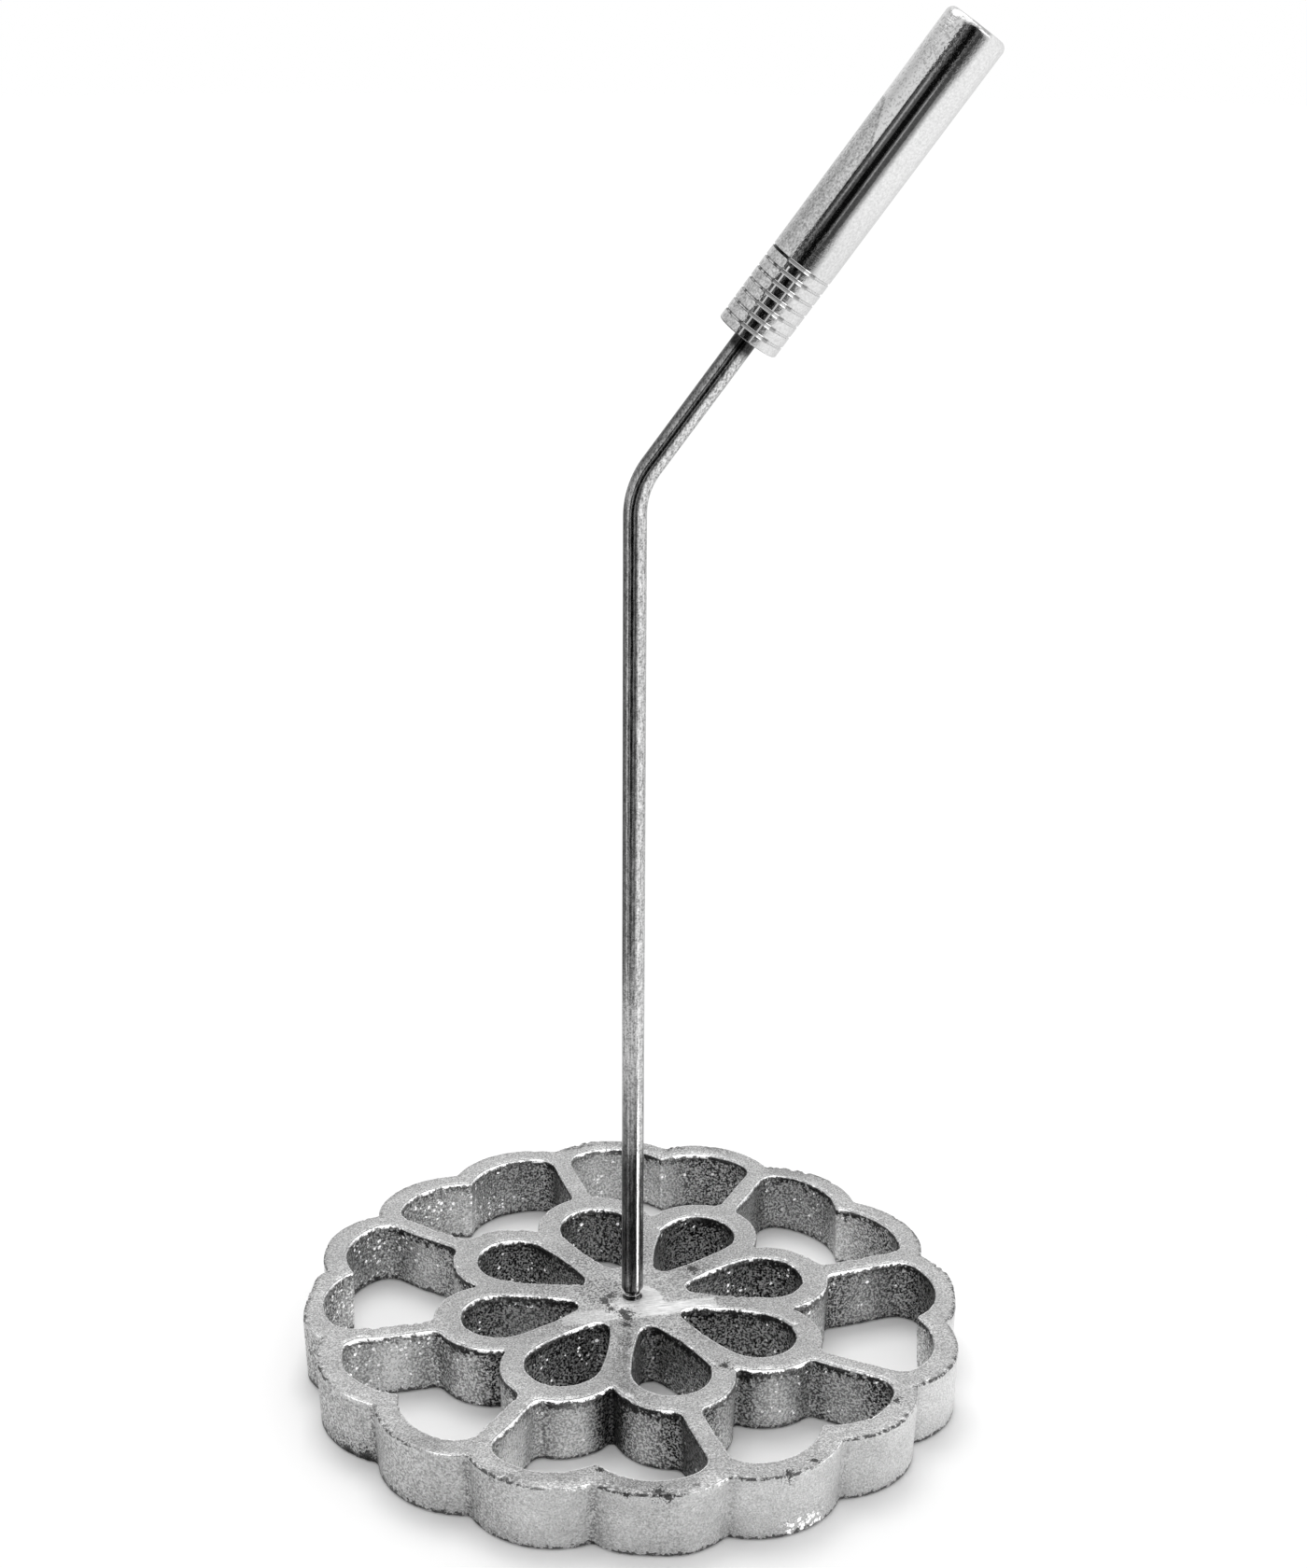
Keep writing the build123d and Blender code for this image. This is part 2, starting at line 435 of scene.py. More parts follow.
def build_table():
    """The white table, as a stage piece."""
    material, tree = new_material("table_white")
    distance = vectors("LENGTH", Field(add(tree, "TexCoord").outputs["Object"]))
    path = add(tree, "LightPath")
    matt = shader(tree, "BsdfDiffuse", {"Color": grey(table_white)})
    glow = shader(tree, "Emission", {"Color": grey(1), "Strength": table_lift})
    shaded = shader(tree, "MixShader", {0: spread(distance, shadow_reach, shadow_shares), 1: glow, 2: matt})
    seen = shader(tree, "MixShader", {0: path.outputs["Is Camera Ray"], 1: matt, 2: shaded})
    through = spread(distance, near_table) * Field(path.outputs["Is Glossy Ray"])
    show(tree, shader(tree, "MixShader", {0: through, 1: seen, 2: shader(tree, "BsdfTransparent")}))

    turns = np.linspace(0, 2 * math.pi, table_points, endpoint=False)
    rim = [(math.cos(turn) * table_radius, math.sin(turn) * table_radius, -table_gap) for turn in turns]
    mesh = bpy.data.meshes.new("table")
    mesh.from_pydata(rim, [], [list(range(len(rim)))])
    mesh.materials.append(material)
    table = bpy.data.objects.new("table", mesh)
    bpy.context.scene.collection.objects.link(table)
    return table


print("the table is", round(2 * table_radius), "m across, on", len(build_table().data.vertices), "points")

# %% [markdown]
# One square lamp, high up and a little behind, gives the shadow on the table its soft direction. The metal is
# told not to mirror it, because its place in the reflections is taken by the room.

# %% Hang the lamp
overhead_lamp_place = (-0.10, 0.45, 1.3)    # metres
overhead_lamp_size = 0.7
overhead_lamp_power = 7.0                   # watts

lamp_data = bpy.data.lights.new("overhead_lamp", "AREA")
lamp_data.size = overhead_lamp_size
lamp_data.energy = overhead_lamp_power
lamp = bpy.data.objects.new("overhead_lamp", lamp_data)
lamp.location = overhead_lamp_place
lamp.rotation_euler = (-Vector(overhead_lamp_place)).to_track_quat("-Z", "Y").to_euler()
lamp.visible_glossy = False
bpy.context.scene.collection.objects.link(lamp)
print("the lamp hangs", round(lamp.location.length, 2), "m from the mould")

# %% [markdown]
# The mould is one sand casting. Its plan is drawn with arcs: two scallops to each petal round the rim, a cell
# between two spokes, and a drop-shaped hole in each petal. A remesh of the CAD solid would blunt every edge,
# so the mesh is built from the plan itself. These helpers work in mm, in the plane of the mould's top.

# %% Draw arcs and straight pieces
fine = 0.1                  # mm between points on a curve before it is divided evenly


def at(radius, degrees):
    """The point at this distance and direction from the rod's axis."""
    turn = math.radians(degrees)
    return np.array([math.cos(turn), math.sin(turn)]) * radius


def circle_through(first, middle, last):
    """Centre and radius of the circle through three points."""
    sides = np.array([middle - first, last - first])
    centre = first + np.linalg.solve(2 * sides, (sides ** 2).sum(1))
    return centre, np.linalg.norm(first - centre)


def crossing(centre, radius, line_turn, offset=0.0):
    """The outer point where a circle meets a line that runs outwards in the direction line_turn."""
    along, across = at(1, line_turn), at(1, line_turn + 90)
    reach = centre @ along + math.sqrt(radius ** 2 - (centre @ across - offset) ** 2)
    return along * reach + across * offset


def bow(centre, start, end):
    """Points on the shorter arc round the centre from start to end."""
    first = math.atan2(*(start - centre)[::-1])
    turn = (math.atan2(*(end - centre)[::-1]) - first + math.pi) % (2 * math.pi) - math.pi
    radius = np.linalg.norm(start - centre)
    turns = first + turn * np.linspace(0, 1, max(3, int(abs(turn) * radius / fine)))
    return centre + radius * np.stack([np.cos(turns), np.sin(turns)], 1)


def straight(start, end):
    """Points on the line from start to end."""
    count = max(3, int(np.linalg.norm(end - start) / fine))
    return start + (end - start) * np.linspace(0, 1, count)[:, None]


print("curves are drawn with a point every", fine, "mm")

# %% [markdown]
# Arcs and straight pieces are joined into one closed line, whose corners are rounded as a pattern maker
# rounds them with a fillet. The line is then divided evenly, because even faces take the casting's bumps
# best.

# %% Join and divide lines
corner_points = 24          # points on a rounded corner


def walked(line):
    """How far along the line each of its points is."""
    return np.concatenate([[0], np.cumsum(np.linalg.norm(np.diff(line, axis=0), axis=1))])


def joined(pieces, reaches):
    """One closed line through the pieces. The corner before each piece is rounded over its reach."""
    share = np.linspace(0, 1, corner_points)[1:-1, None]
    trimmed = []
    for piece, before, after in zip(pieces, reaches, reaches[1:] + reaches[:1]):
        along = walked(piece)
        trimmed.append(piece[(along >= before) & (along <= along[-1] - after)])
    line = []
    for piece, trimmed_piece, following in zip(pieces, trimmed, trimmed[1:] + trimmed[:1]):
        start, corner, end = trimmed_piece[-1], piece[-1], following[0]
        rounded = (1 - share) ** 2 * start + 2 * share * (1 - share) * corner + share ** 2 * end
        line += [trimmed_piece, rounded]
    return np.concatenate(line)


def divided(line, step):
    """The closed line as points an even step apart, running anticlockwise."""
    closed = np.concatenate([line, line[:1]])
    along = walked(closed)
    places = np.linspace(0, along[-1], int(along[-1] / step), endpoint=False)
    even = np.stack([np.interp(places, along, closed[:, axis]) for axis in (0, 1)], 1)
    x, y = even.T
    area = (x * np.roll(y, -1) - y * np.roll(x, -1)).sum()
    return even if area > 0 else even[::-1]


def turned(line, degrees):
    """The line turned round the rod's axis."""
    turn = math.radians(degrees)
    return line @ np.array([[math.cos(turn), math.sin(turn)], [-math.sin(turn), math.cos(turn)]])


quarter = bow(np.zeros(2), at(1, 0), at(1, 90))
print("a quarter circle of 1 mm is", round(walked(quarter)[-1], 3), "mm long, on", len(quarter), "points")

# %% [markdown]
# The plan repeats eight times round the axis, so three lines are enough: two scallops of the rim, one cell
# between the spokes, and one petal hole. A wooden or metal pattern for such a casting is laid out from the
# same few radii. The sizes are the CAD model's own, so the dressed mould follows it line for line.

# %% Sizes of the casting's plan
petals = 8
rim_radius = 76.3           # mm, to the middle of a scallop
scallop_rise = 4.2
ring_wall = 5.9
cusp_wall = 6.9
spoke_width = 5.0
flower_radius = 47.9        # petal tips
notch_depth = 10.2
petal_wall = 6.6
web_width = 7.5
hub_radius = 13.4
hole_root_round = 2.4
hole_side_round = 60.0      # the slow curve of a petal hole's long sides
pattern_turn = 18.7         # degrees from the rod's bend to the first spoke
ring_corner_reach = 3.4     # mm over which corners are rounded
petal_corner_reach = 1.8
cusp_reach = 0.7
half_cell = 180 / petals
print("a petal turns", 2 * half_cell, "degrees of the mould")

# %% [markdown]
# The rim is drawn whole. A cell and a petal hole are drawn once, along +X, as one half and its mirror image,
# and are turned to their places later.

# %% Draw the plan
def scallops():
    """The casting's outer line."""
    cusp_radius = rim_radius - scallop_rise
    centre, _ = circle_through(at(cusp_radius, 0), at(rim_radius, half_cell / 2), at(cusp_radius, half_cell))
    one = bow(centre, at(cusp_radius, 0), at(cusp_radius, half_cell))
    arcs = [turned(one, turn * half_cell) for turn in range(2 * petals)]
    return joined(arcs, [cusp_reach] * len(arcs))


def cell():
    """The opening between two spokes, along +X."""
    cusp_radius = rim_radius - scallop_rise - cusp_wall
    rim_centre, rim_round = circle_through(
        at(cusp_radius, 0), at(rim_radius - ring_wall, half_cell / 2), at(cusp_radius, half_cell)
    )
    notch_radius = flower_radius - notch_depth
    tip_centre, tip_round = circle_through(
        at(notch_radius, 0), at(flower_radius, half_cell), at(notch_radius, 2 * half_cell)
    )
    cusp, notch = at(cusp_radius, 0), at(notch_radius, 0)
    ring = crossing(rim_centre, rim_round, half_cell, -spoke_width / 2)
    petal = crossing(tip_centre, tip_round, half_cell, -spoke_width / 2)
    left = [bow(rim_centre, cusp, ring), straight(ring, petal), bow(tip_centre, petal, notch)]
    right_half = [piece[::-1] * (1, -1) for piece in left[::-1]]
    left_reaches = [cusp_reach, ring_corner_reach, petal_corner_reach]
    right_reaches = [cusp_reach, petal_corner_reach, ring_corner_reach]
    return joined(left + right_half, left_reaches + right_reaches)


def petal_hole():
    """The drop-shaped hole in a petal, along +X, narrow towards the hub."""
    tip = flower_radius - petal_wall
    wide = np.array([(tip + web_width / 2) / (1 + math.sin(math.radians(half_cell))), 0])
    root = np.array([hub_radius + hole_root_round, 0])
    wide_round, apart = tip - wide[0], wide[0] - root[0]
    to_root, to_wide = hole_side_round - hole_root_round, hole_side_round - wide_round
    along = (to_root ** 2 - to_wide ** 2 + apart ** 2) / (2 * apart)
    side = root + np.array([along, -math.sqrt(to_root ** 2 - along ** 2)])
    root_touch = side + (root - side) / to_root * hole_side_round
    wide_touch = side + (wide - side) / to_wide * hole_side_round
    wide_tip, root_tip = wide + (wide_round, 0), root - (hole_root_round, 0)
    upper = [bow(root, root_tip, root_touch), bow(side, root_touch, wide_touch)]
    upper.append(bow(wide, wide_touch, wide_tip))
    lower = [piece[::-1] * (1, -1) for piece in upper[::-1]]
    return np.concatenate(upper + lower)


cell_round, hole_round = round(walked(cell())[-1]), round(walked(petal_hole())[-1])
print("a cell is", cell_round, "mm round, and a petal hole", hole_round, "mm")

# %% [markdown]
# No sand casting is as regular as its drawing. This one is a little out of round, and some of its lobes sit
# off their places, most of all on the right. A few slow waves round the rim say so, for the radius and for
# the direction, and fade out towards the hub. The petals have waves of their own, and the ring's inner line
# sits a little too far back. All of it stays within what such a casting is allowed, and inside the CAD
# model's box.

# %% How far the casting is out of round
# each wave is how many go round, how high one is, in mm or degrees, and the direction of a crest
radius_waves = [(1, 0.36, -150), (2, 0.96, -30), (4, 0.62, 0)]      # mm
direction_waves = [(2, 1.17, 89), (4, 0.43, 41)]                    # degrees
direction_shift = -0.63     # degrees
true_within = 30.0          # mm from the axis
fade_power = 1.5            # how late the rim's waves set in on the way out
petal_waves = [(0, -0.55, 0), (1, 0.31, 15), (2, 0.39, -45)]        # mm, for the petals alone
petal_turns = [(0, -0.5, 0), (1, 0.57, 200)]                        # degrees
petal_reach = (22.0, 38.0, 50.0, 60.0)      # mm from the axis where they begin, are full, and end
ring_reach = (58.0, 64.0, 68.0, 73.0)       # the same for the shift of the ring's inner line
fade_in_and_out = (0, 1, 1, 0)
ring_shift = 0.6            # mm towards the back
inside_box = mould_high[0] - 0.05       # mm, as far as any point may lie from the axis along X or Y
press_from = inside_box - 2.0           # and from where points are pressed inwards to stay inside


def swayed(points, waves):
    """What a set of waves adds at these points."""
    around = np.degrees(np.arctan2(points[:, 1], points[:, 0]))
    return sum(size * np.cos(np.radians(count * (around - crest))) for count, size, crest in waves)


def cast(points):
    """The plan's points as they came out of the sand, within the CAD model's box."""
    radius = np.linalg.norm(points, axis=1)
    share = np.clip((radius - true_within) / (rim_radius - true_within), 0, 1) ** fade_power
    in_petals = np.interp(radius, petal_reach, fade_in_and_out)
    added = share * swayed(points, radius_waves) + in_petals * swayed(points, petal_waves)
    turn = share * (swayed(points, direction_waves) + direction_shift)
    turn = np.radians(turn + in_petals * swayed(points, petal_turns))
    x, y = (points * (1 + added / radius)[:, None]).T
    moved = np.stack([x * np.cos(turn) - y * np.sin(turn), x * np.sin(turn) + y * np.cos(turn)], 1)
    moved[:, 1] += ring_shift * np.interp(radius, ring_reach, fade_in_and_out)
    over = np.maximum(np.abs(moved) - press_from, 0)
    spare = inside_box - press_from
    return np.sign(moved) * (np.minimum(np.abs(moved), press_from) + spare * np.tanh(over / spare))


step = 0.52                 # mm between the columns of the mould's walls
outer_line = divided(cast(turned(scallops(), pattern_turn)), step)
opening_lines = []
for petal in range(petals):
    spoke_turn = pattern_turn + petal * 2 * half_cell
    opening_lines.append(divided(cast(turned(cell(), spoke_turn + half_cell)), step))
    opening_lines.append(divided(cast(turned(petal_hole(), spoke_turn)), step))
print(len(outer_line), "points round the rim, and its reach is", np.abs(outer_line).max(0).round(2), "mm")

# %% [markdown]
# Each line becomes a wall: rows of the same points at falling heights, set in at the top where the edge is
# rounded, leaning in by the draft that let the pattern leave the sand, and rounded again below. A mesh here
# is a list of such rows with faces between them. Each point has marks, which are numbers that the finish
# reads later.

# %% Rows of points
mark_names = ("residue", "inner", "outer", "to_right", "to_front", "groove", "flank", "dull")


class Mesh:
    """Vertices and faces that grow piece by piece. Each vertex has its marks: numbers for the finish."""

    def __init__(self):
        self.points = []
        self.faces = []
        self.marks = {name: [] for name in mark_names}

    def ring(self, points, **marks):
        """Adds a closed row of points, and returns where it starts and how many they are."""
        start, count = len(self.points), len(points)
        self.points.extend(map(tuple, points))
        for name, values in self.marks.items():
            values.extend(np.broadcast_to(marks.get(name, 0.0), count))
        return start, count

    def skin(self, upper, lower):
        """Quads between two rows of as many points. They face out of the line if it runs anticlockwise."""
        (above, count), (below, _) = upper, lower
        for column in range(count):
            following = (column + 1) % count
            self.faces.append((above + column, below + column, below + following, above + following))

    def tube(self, rings):
        """Quads between all the rows, from the lowest up, and a face across each end."""
        for lower, upper in zip(rings, rings[1:]):
            self.skin(upper, lower)
        (first, first_count), (last, last_count) = rings[0], rings[-1]
        self.faces.append(list(range(first + first_count - 1, first - 1, -1)))
        self.faces.append(list(range(last, last + last_count)))


def round_about(count):
    """Directions in radians, an even step apart, once round."""
    return np.linspace(0, 2 * math.pi, count, endpoint=False)


print("a point has", len(mark_names), "marks")

# %% [markdown]
# An edge that was cast sharp has worn round, and carries nicks from knocks and from the file that took the
# fins off. The foot of each wall is ragged too, where the two halves of the sand mould met. A noise decides
# where the nicks are, in patches, because a tool slips and knocks in some places and never in others.

# %% Shape of a wall
draft = 2.0                 # degrees
edge_rounds = {"rim": 0.5, "cell": 0.85, "petal": 0.85}     # mm, how far each kind of edge has worn round
nick_depths = {"rim": 0.55, "cell": 0.40, "petal": 0.40}    # mm, the deepest nicks in each kind
foot_round = 0.3
foot_lip = 0.3              # the last row but one, as a share of the foot's rounding
edge_rows, wall_height_rows = 4, 14
nick_reach = 1.2            # mm that a nick runs down the wall
nick_share_on_wall = 0.6
foot_nick_share = 0.8       # at the last row but one
nick_drop, foot_nick_rise = 0.7, 0.6        # how far a nick also moves its point down, or at the foot up
# three noises in the plan: the level at which each is read, the size of its patches in mm, and its threshold
nick_noise = (3.0, 1.2, 0.0)
nicked_stretches = (9.0, 6.0, -0.15)
foot_nick_noise = (40.0, 1.1, -0.1)
full_patch = 0.6            # the noise's value at which a patch is full


def ragged(line, level, size, threshold):
    """From 0 to 1 at each point of a line, above 0 only in patches of about this size."""
    values = np.array([noise.noise(Vector((x, y, level)) / size) for x, y in line])
    return np.clip((values - threshold) / (full_patch - threshold), 0, 1)


def wall_rows(edge_round):
    """Height, inset into the metal, and share of the nicks for each row, from the top edge down.

    A share below 0 is one of the foot's own nicks.
    """
    lean = math.tan(math.radians(draft))
    rows = []
    for share in np.linspace(0, 1, edge_rows):
        turn = share * math.pi / 2
        rows.append((top - edge_round * (1 - math.cos(turn)), edge_round * (1 - math.sin(turn)), 1.0))
    below = top - edge_round
    for height in np.linspace(below, foot_round, wall_height_rows)[1:]:
        nicks = max(0.0, 1 - (below - height) / nick_reach)
        rows.append((height, (top - height) * lean, nicks * nick_share_on_wall))
    rows.append((foot_round * foot_lip, top * lean + foot_round * foot_lip, -foot_nick_share))
    rows.append((0.0, top * lean + foot_round, -1.0))
    return rows


def away_from_metal(line, is_outer):
    """For each point of an anticlockwise line, the direction out of the metal."""
    ahead = np.roll(line, -1, 0) - np.roll(line, 1, 0)
    ahead /= np.linalg.norm(ahead, axis=1)[:, None]
    out = np.stack([ahead[:, 1], -ahead[:, 0]], 1)
    return out if is_outer else -out


print("a wall has", len(wall_rows(edge_rounds["cell"])), "rows")

# %% [markdown]
# Molten metal burns the sand that it touches, and leaves a dark skin on the walls, which blasting and years
# of use take off again in places. The same mark also carries painted shade: more of it in corners, in the
# deeper openings and towards the top of a wall, and less of it, which is painted light, towards the right and
# where a wall faces right or front. The photographed walls are each lighter or darker than that by
# themselves, so a list of patches adds what a rule can't know, as skin and as painted light and shade.

# %% Dark skin and painted shade on the walls
# in each kind, left is where the mark starts, highest in the deep petal holes as painted shade; in_corners
# and higher_up paint shade in corners and towards the top of a wall; to_right, facing_right and facing_front
# move it with the wall's place and facing, and below 0 they paint light, most where a wall faces right or
# front
skin_and_shade_on = {                 # how much skin and painted shade each kind of wall has
    "rim": SimpleNamespace(left=0.24, to_right=-0.20, facing_right=-0.22, facing_front=0.0,
                           in_corners=0.22, corner_reach=0.6, higher_up=0.0),
    "cell": SimpleNamespace(left=0.50, to_right=0.06, facing_right=-0.20, facing_front=-0.26,
                            in_corners=0.55, corner_reach=4.5, higher_up=0.16),
    "petal": SimpleNamespace(left=0.84, to_right=0.0, facing_right=-0.1, facing_front=0.0,
                             in_corners=0.15, corner_reach=4.0, higher_up=0.10),
}
corner_turn = 50            # degrees that a line turns in a full corner
corner_window = 24          # how many points on each side count
cloud_of_skin = (80.0, 16)  # a noise in the plan: its level and the size of its patches
cloud_share = 0.30
skin_and_shade_limits = (-1, 2)       # 0 is bare and 1 is full skin and painted shade; below 0 it is painted lighter, above 1 sootier and darker
skin_and_shade_patches = [            # place and reach in mm, and how much more skin and painted shade lie there, or less for painted light
    (-11.5, -43.6, 8, -0.26), (6.4, -45.1, 8, 0.22), (-2.7, -37.6, 4, 0.80), (-22.5, -50.6, 7, -1.10),
    (-54.2, -19.9, 12, -0.55), (31.2, -28.9, 7, -0.18), (47.9, -26.5, 8, -0.22), (-50.5, 21.5, 9, -0.10),
    (-69.0, 3.3, 9, 0.45), (-11.4, 70.0, 9, -0.75), (13.7, 68.6, 10, 0.20), (39.7, 56.8, 8, -0.55),
    (16.5, -54.5, 7, 0.90), (-21.5, 55.0, 6, 0.35), (56.1, 39.2, 7, 0.12), (7.7, -13.6, 8, -0.28),
    (-14.6, -16.4, 6, 0.24), (-30.0, -1.2, 9, -0.10),
]


def hollows(line, is_outer, reach):
    """From -1 on a ridge to 1 in a corner: how the wall turns near each point."""
    ahead = np.roll(line, -1, 0) - line
    heading = np.arctan2(ahead[:, 1], ahead[:, 0])
    turn = (heading - np.roll(heading, 1) + math.pi) % (2 * math.pi) - math.pi
    offsets = np.arange(-corner_window, corner_window + 1)
    weights = np.exp(-((offsets * step / reach) ** 2) / 2)
    near = sum(weight * np.roll(turn, offset) for offset, weight in zip(offsets, weights))
    return np.clip(near / math.radians(corner_turn), -1, 1) * (-1 if is_outer else 1)


def skin_and_shade_left(line, out, kind):
    """How much dark skin and painted shade lie at each point of a wall's line."""
    skin, is_outer = skin_and_shade_on[kind], kind == "rim"
    level, size = cloud_of_skin
    cloud = np.array([noise.noise(Vector((x, y, level)) / size) for x, y in line])
    residue = skin.left + skin.to_right * line[:, 0] / rim_radius
    residue += skin.in_corners * hollows(line, is_outer, skin.corner_reach) + cloud_share * cloud
    residue += skin.facing_right * out[:, 0] - skin.facing_front * out[:, 1]
    if not is_outer:
        for x, y, reach, more in skin_and_shade_patches:
            residue += more * np.exp(-np.sum((line - (x, y)) ** 2, 1) / reach ** 2)
    return residue


print(len(skin_and_shade_patches), "patches have more or less skin than the rule gives")

# %% [markdown]
# The walls are built now, one for the rim and one for each opening. Each row is the line moved into the metal
# by its inset and its nicks. The marks say for each point how much skin and painted shade it has, on which
# kind of wall it is, and how far that wall turns to the right and to the front.

# %% Build the walls
def build_wall(mesh, line, kind):
    """Adds one wall, and returns its top and bottom rows."""
    is_outer = kind == "rim"
    out = away_from_metal(line, is_outer)
    top_nicks = ragged(line, *nick_noise) * ragged(line, *nicked_stretches)
    foot_nicks = ragged(line, *foot_nick_noise)
    outwards = line / np.linalg.norm(line, axis=1)[:, None]
    # on the rim, right is measured from straight outwards, so that each scallop has a right flank of its own
    facing = {"to_right": (out - outwards)[:, 0] if is_outer else out[:, 0], "to_front": -out[:, 1]}
    # the mark is dark skin and painted shade, and painted light where it falls below 0
    residue = skin_and_shade_left(line, out, kind)
    edge_round = edge_rounds[kind]
    rings = []
    for height, inset, share in wall_rows(edge_round):
        nicks = (top_nicks if share > 0 else foot_nicks) * abs(share) * nick_depths[kind]
        place = line - out * (inset + nicks)[:, None]
        level = height - nicks * (nick_drop if share > 0 else -foot_nick_rise)
        below_rim = min(max((top - height) / (2 * edge_round), 0), 1)
        # painted shade: darker towards the top of a wall, lighter towards its foot
        higher_up = skin_and_shade_on[kind].higher_up * (height / top - 0.5)
        left = np.clip(residue + higher_up, *skin_and_shade_limits) * below_rim ** 2
        marks = {"residue": left, "inner": float(not is_outer), "outer": float(is_outer), **facing}
        rings.append(mesh.ring(np.column_stack([place, level]), **marks))
    for upper, lower in zip(rings, rings[1:]):
        mesh.skin(*((upper, lower) if is_outer else (lower, upper)))
    return rings[0], rings[-1]


casting = Mesh()
ends = [build_wall(casting, outer_line, "rim")]
ends += [build_wall(casting, line, ("cell", "petal")[place % 2]) for place, line in enumerate(opening_lines)]
print("the walls have", len(casting.points), "points")

# %% [markdown]
# In the middle of the hub is a blind hole, drilled and tapped for the rod, with a small countersink that
# keeps the first turn of the thread from lifting. The screw fills it, so little of the hole shows, but the
# mould is whole without its rod too.

# %% Drill the hole for the rod
hole_radius = 2.05          # mm
hole_countersink = 0.3
hole_bottom = 5.9           # height of its bottom, inside the hub
hole_points = 40

hole_turns = round_about(hole_points)
hole_line = np.stack([np.cos(hole_turns), np.sin(hole_turns)], 1)
hole_rings = []
for height, radius in (
    (top, hole_radius + hole_countersink), (top - hole_countersink, hole_radius), (hole_bottom, hole_radius),
):
    hole_rings.append(casting.ring(np.column_stack([hole_line * radius, np.full(hole_points, height)])))
for upper, lower in zip(hole_rings, hole_rings[1:]):
    casting.skin(lower, upper)
bottom_start, bottom_count = hole_rings[-1]
casting.faces.append(list(range(bottom_start, bottom_start + bottom_count)))
print("the hole is", round(top - hole_bottom, 1), "mm deep")

# %% [markdown]
# The top and the underside fill the metal between the walls. A few long triangles would do for a flat face.
# This one has points spread evenly inside, so that it can undulate like the rest of the casting.

# %% Spread points over the metal
row_spacing = 0.87          # of the spacing, between rows whose points are staggered
edge_clearance = 0.6        # of that, from the nearest point of a wall
grid_margin = 2             # mm


def within(points, line):
    """Which points lie inside a closed line."""
    (x, y), (x0, y0), (x1, y1) = points.T, line.T, np.roll(line, -1, 0).T
    inside = np.zeros(len(points), bool)
    for ax, ay, bx, by in zip(x0, y0, x1, y1):
        level = (ay > y) != (by > y)
        inside ^= level & (x < (bx - ax) * (y - ay) / (by - ay + 1e-12) + ax)
    return inside


def in_metal(points, lines):
    """Which points lie inside the first line, the rim, and in none of the others."""
    metal = within(points, lines[0])
    for line in lines[1:]:
        metal &= ~within(points, line)
    return metal


def grid_inside(lines, spacing):
    """Points spread evenly over the metal, clear of its edges."""
    edge = np.concatenate(lines)
    tree = kdtree.KDTree(len(edge))
    for index, (x, y) in enumerate(edge):
        tree.insert((x, y, 0), index)
    tree.balance()
    reach = np.arange(-rim_radius - grid_margin, rim_radius + grid_margin, spacing)
    levels = enumerate(reach * row_spacing)
    grid = np.array([(x + spacing / 2 * (row % 2), y) for row, y in levels for x in reach])
    clear = spacing * edge_clearance
    return np.array([point for point in grid[in_metal(grid, lines)] if tree.find((*point, 0))[2] > clear])


print("rows of points lie", row_spacing, "of their spacing apart, in a grid of triangles")

# %% [markdown]
# A Delaunay triangulation joins the walls' end rows and the points between them with well-shaped triangles.
# It also fills the openings, so only the triangles whose middle lies in the metal are kept.

# %% Fill the top and the underside
top_spacing, underside_spacing = 0.85, 1.6      # mm between the points inside


def build_cap(mesh, rings, height, spacing, faces_up):
    """Fills the metal between the walls' end rows with triangles."""
    lines = [np.array(mesh.points[start:start + count])[:, :2] for start, count in rings]
    grid = grid_inside(lines, spacing)
    borders, start = [], 0
    for line in lines:
        count = len(line)
        borders += [(start + i, start + (i + 1) % count) for i in range(count)]
        start += count
    corners = [Vector(point) for point in np.concatenate([*lines, grid])]
    places, _, triangles, origins, *_ = geometry.delaunay_2d_cdt(corners, borders, [], 0, 1e-6)
    middles = np.array([np.mean([places[i][:] for i in triangle], 0) for triangle in triangles])

    first, _ = mesh.ring([(x, y, height) for x, y in grid])
    known = [start + i for start, count in rings for i in range(count)]
    known += range(first, first + len(grid))
    crossings = [i for i, origin in enumerate(origins) if not origin]
    added, _ = mesh.ring([(*places[i], height) for i in crossings]) if crossings else (0, 0)
    place_of = {i: known[origin[0]] for i, origin in enumerate(origins) if origin}
    place_of.update({i: added + count for count, i in enumerate(crossings)})
    for triangle, keep in zip(triangles, in_metal(middles, lines)):
        face = [place_of[i] for i in triangle]
        if keep and len(set(face)) == 3:
            mesh.faces.append(face if faces_up else face[::-1])


build_cap(casting, [end[0] for end in ends] + [hole_rings[0]], top, top_spacing, True)
build_cap(casting, [end[1] for end in ends], 0.0, underside_spacing, False)
triangles = sum(len(face) - 2 for face in casting.faces)
print("the casting has", len(casting.points), "points and", triangles, "triangles")

# %% [markdown]
# The last step in mesh code is the skin of the casting: slow waves where the metal shrank as it cooled, and
# shallow bumps from the sand. It moves each point along its normal, only ever inwards, so that the piece
# stays within its CAD box. Everything finer than a millimetre is left to the material.

# %% Give the casting its skin
wave_depth, wave_size = 0.22, 18        # mm
bump_depth, bump_size = 0.10, 2.1
bump_shift = Vector((7, 3, 1))          # keeps the two noises apart


def mesh_normals(points, faces):
    """The smooth normals of a mesh that isn't made yet."""
    mesh = bpy.data.meshes.new("for_normals")
    mesh.from_pydata([tuple(point) for point in points], [], [list(face) for face in faces])
    mesh.update()
    normals = np.array([vertex.normal[:] for vertex in mesh.vertices])
    bpy.data.meshes.remove(mesh)
    return normals


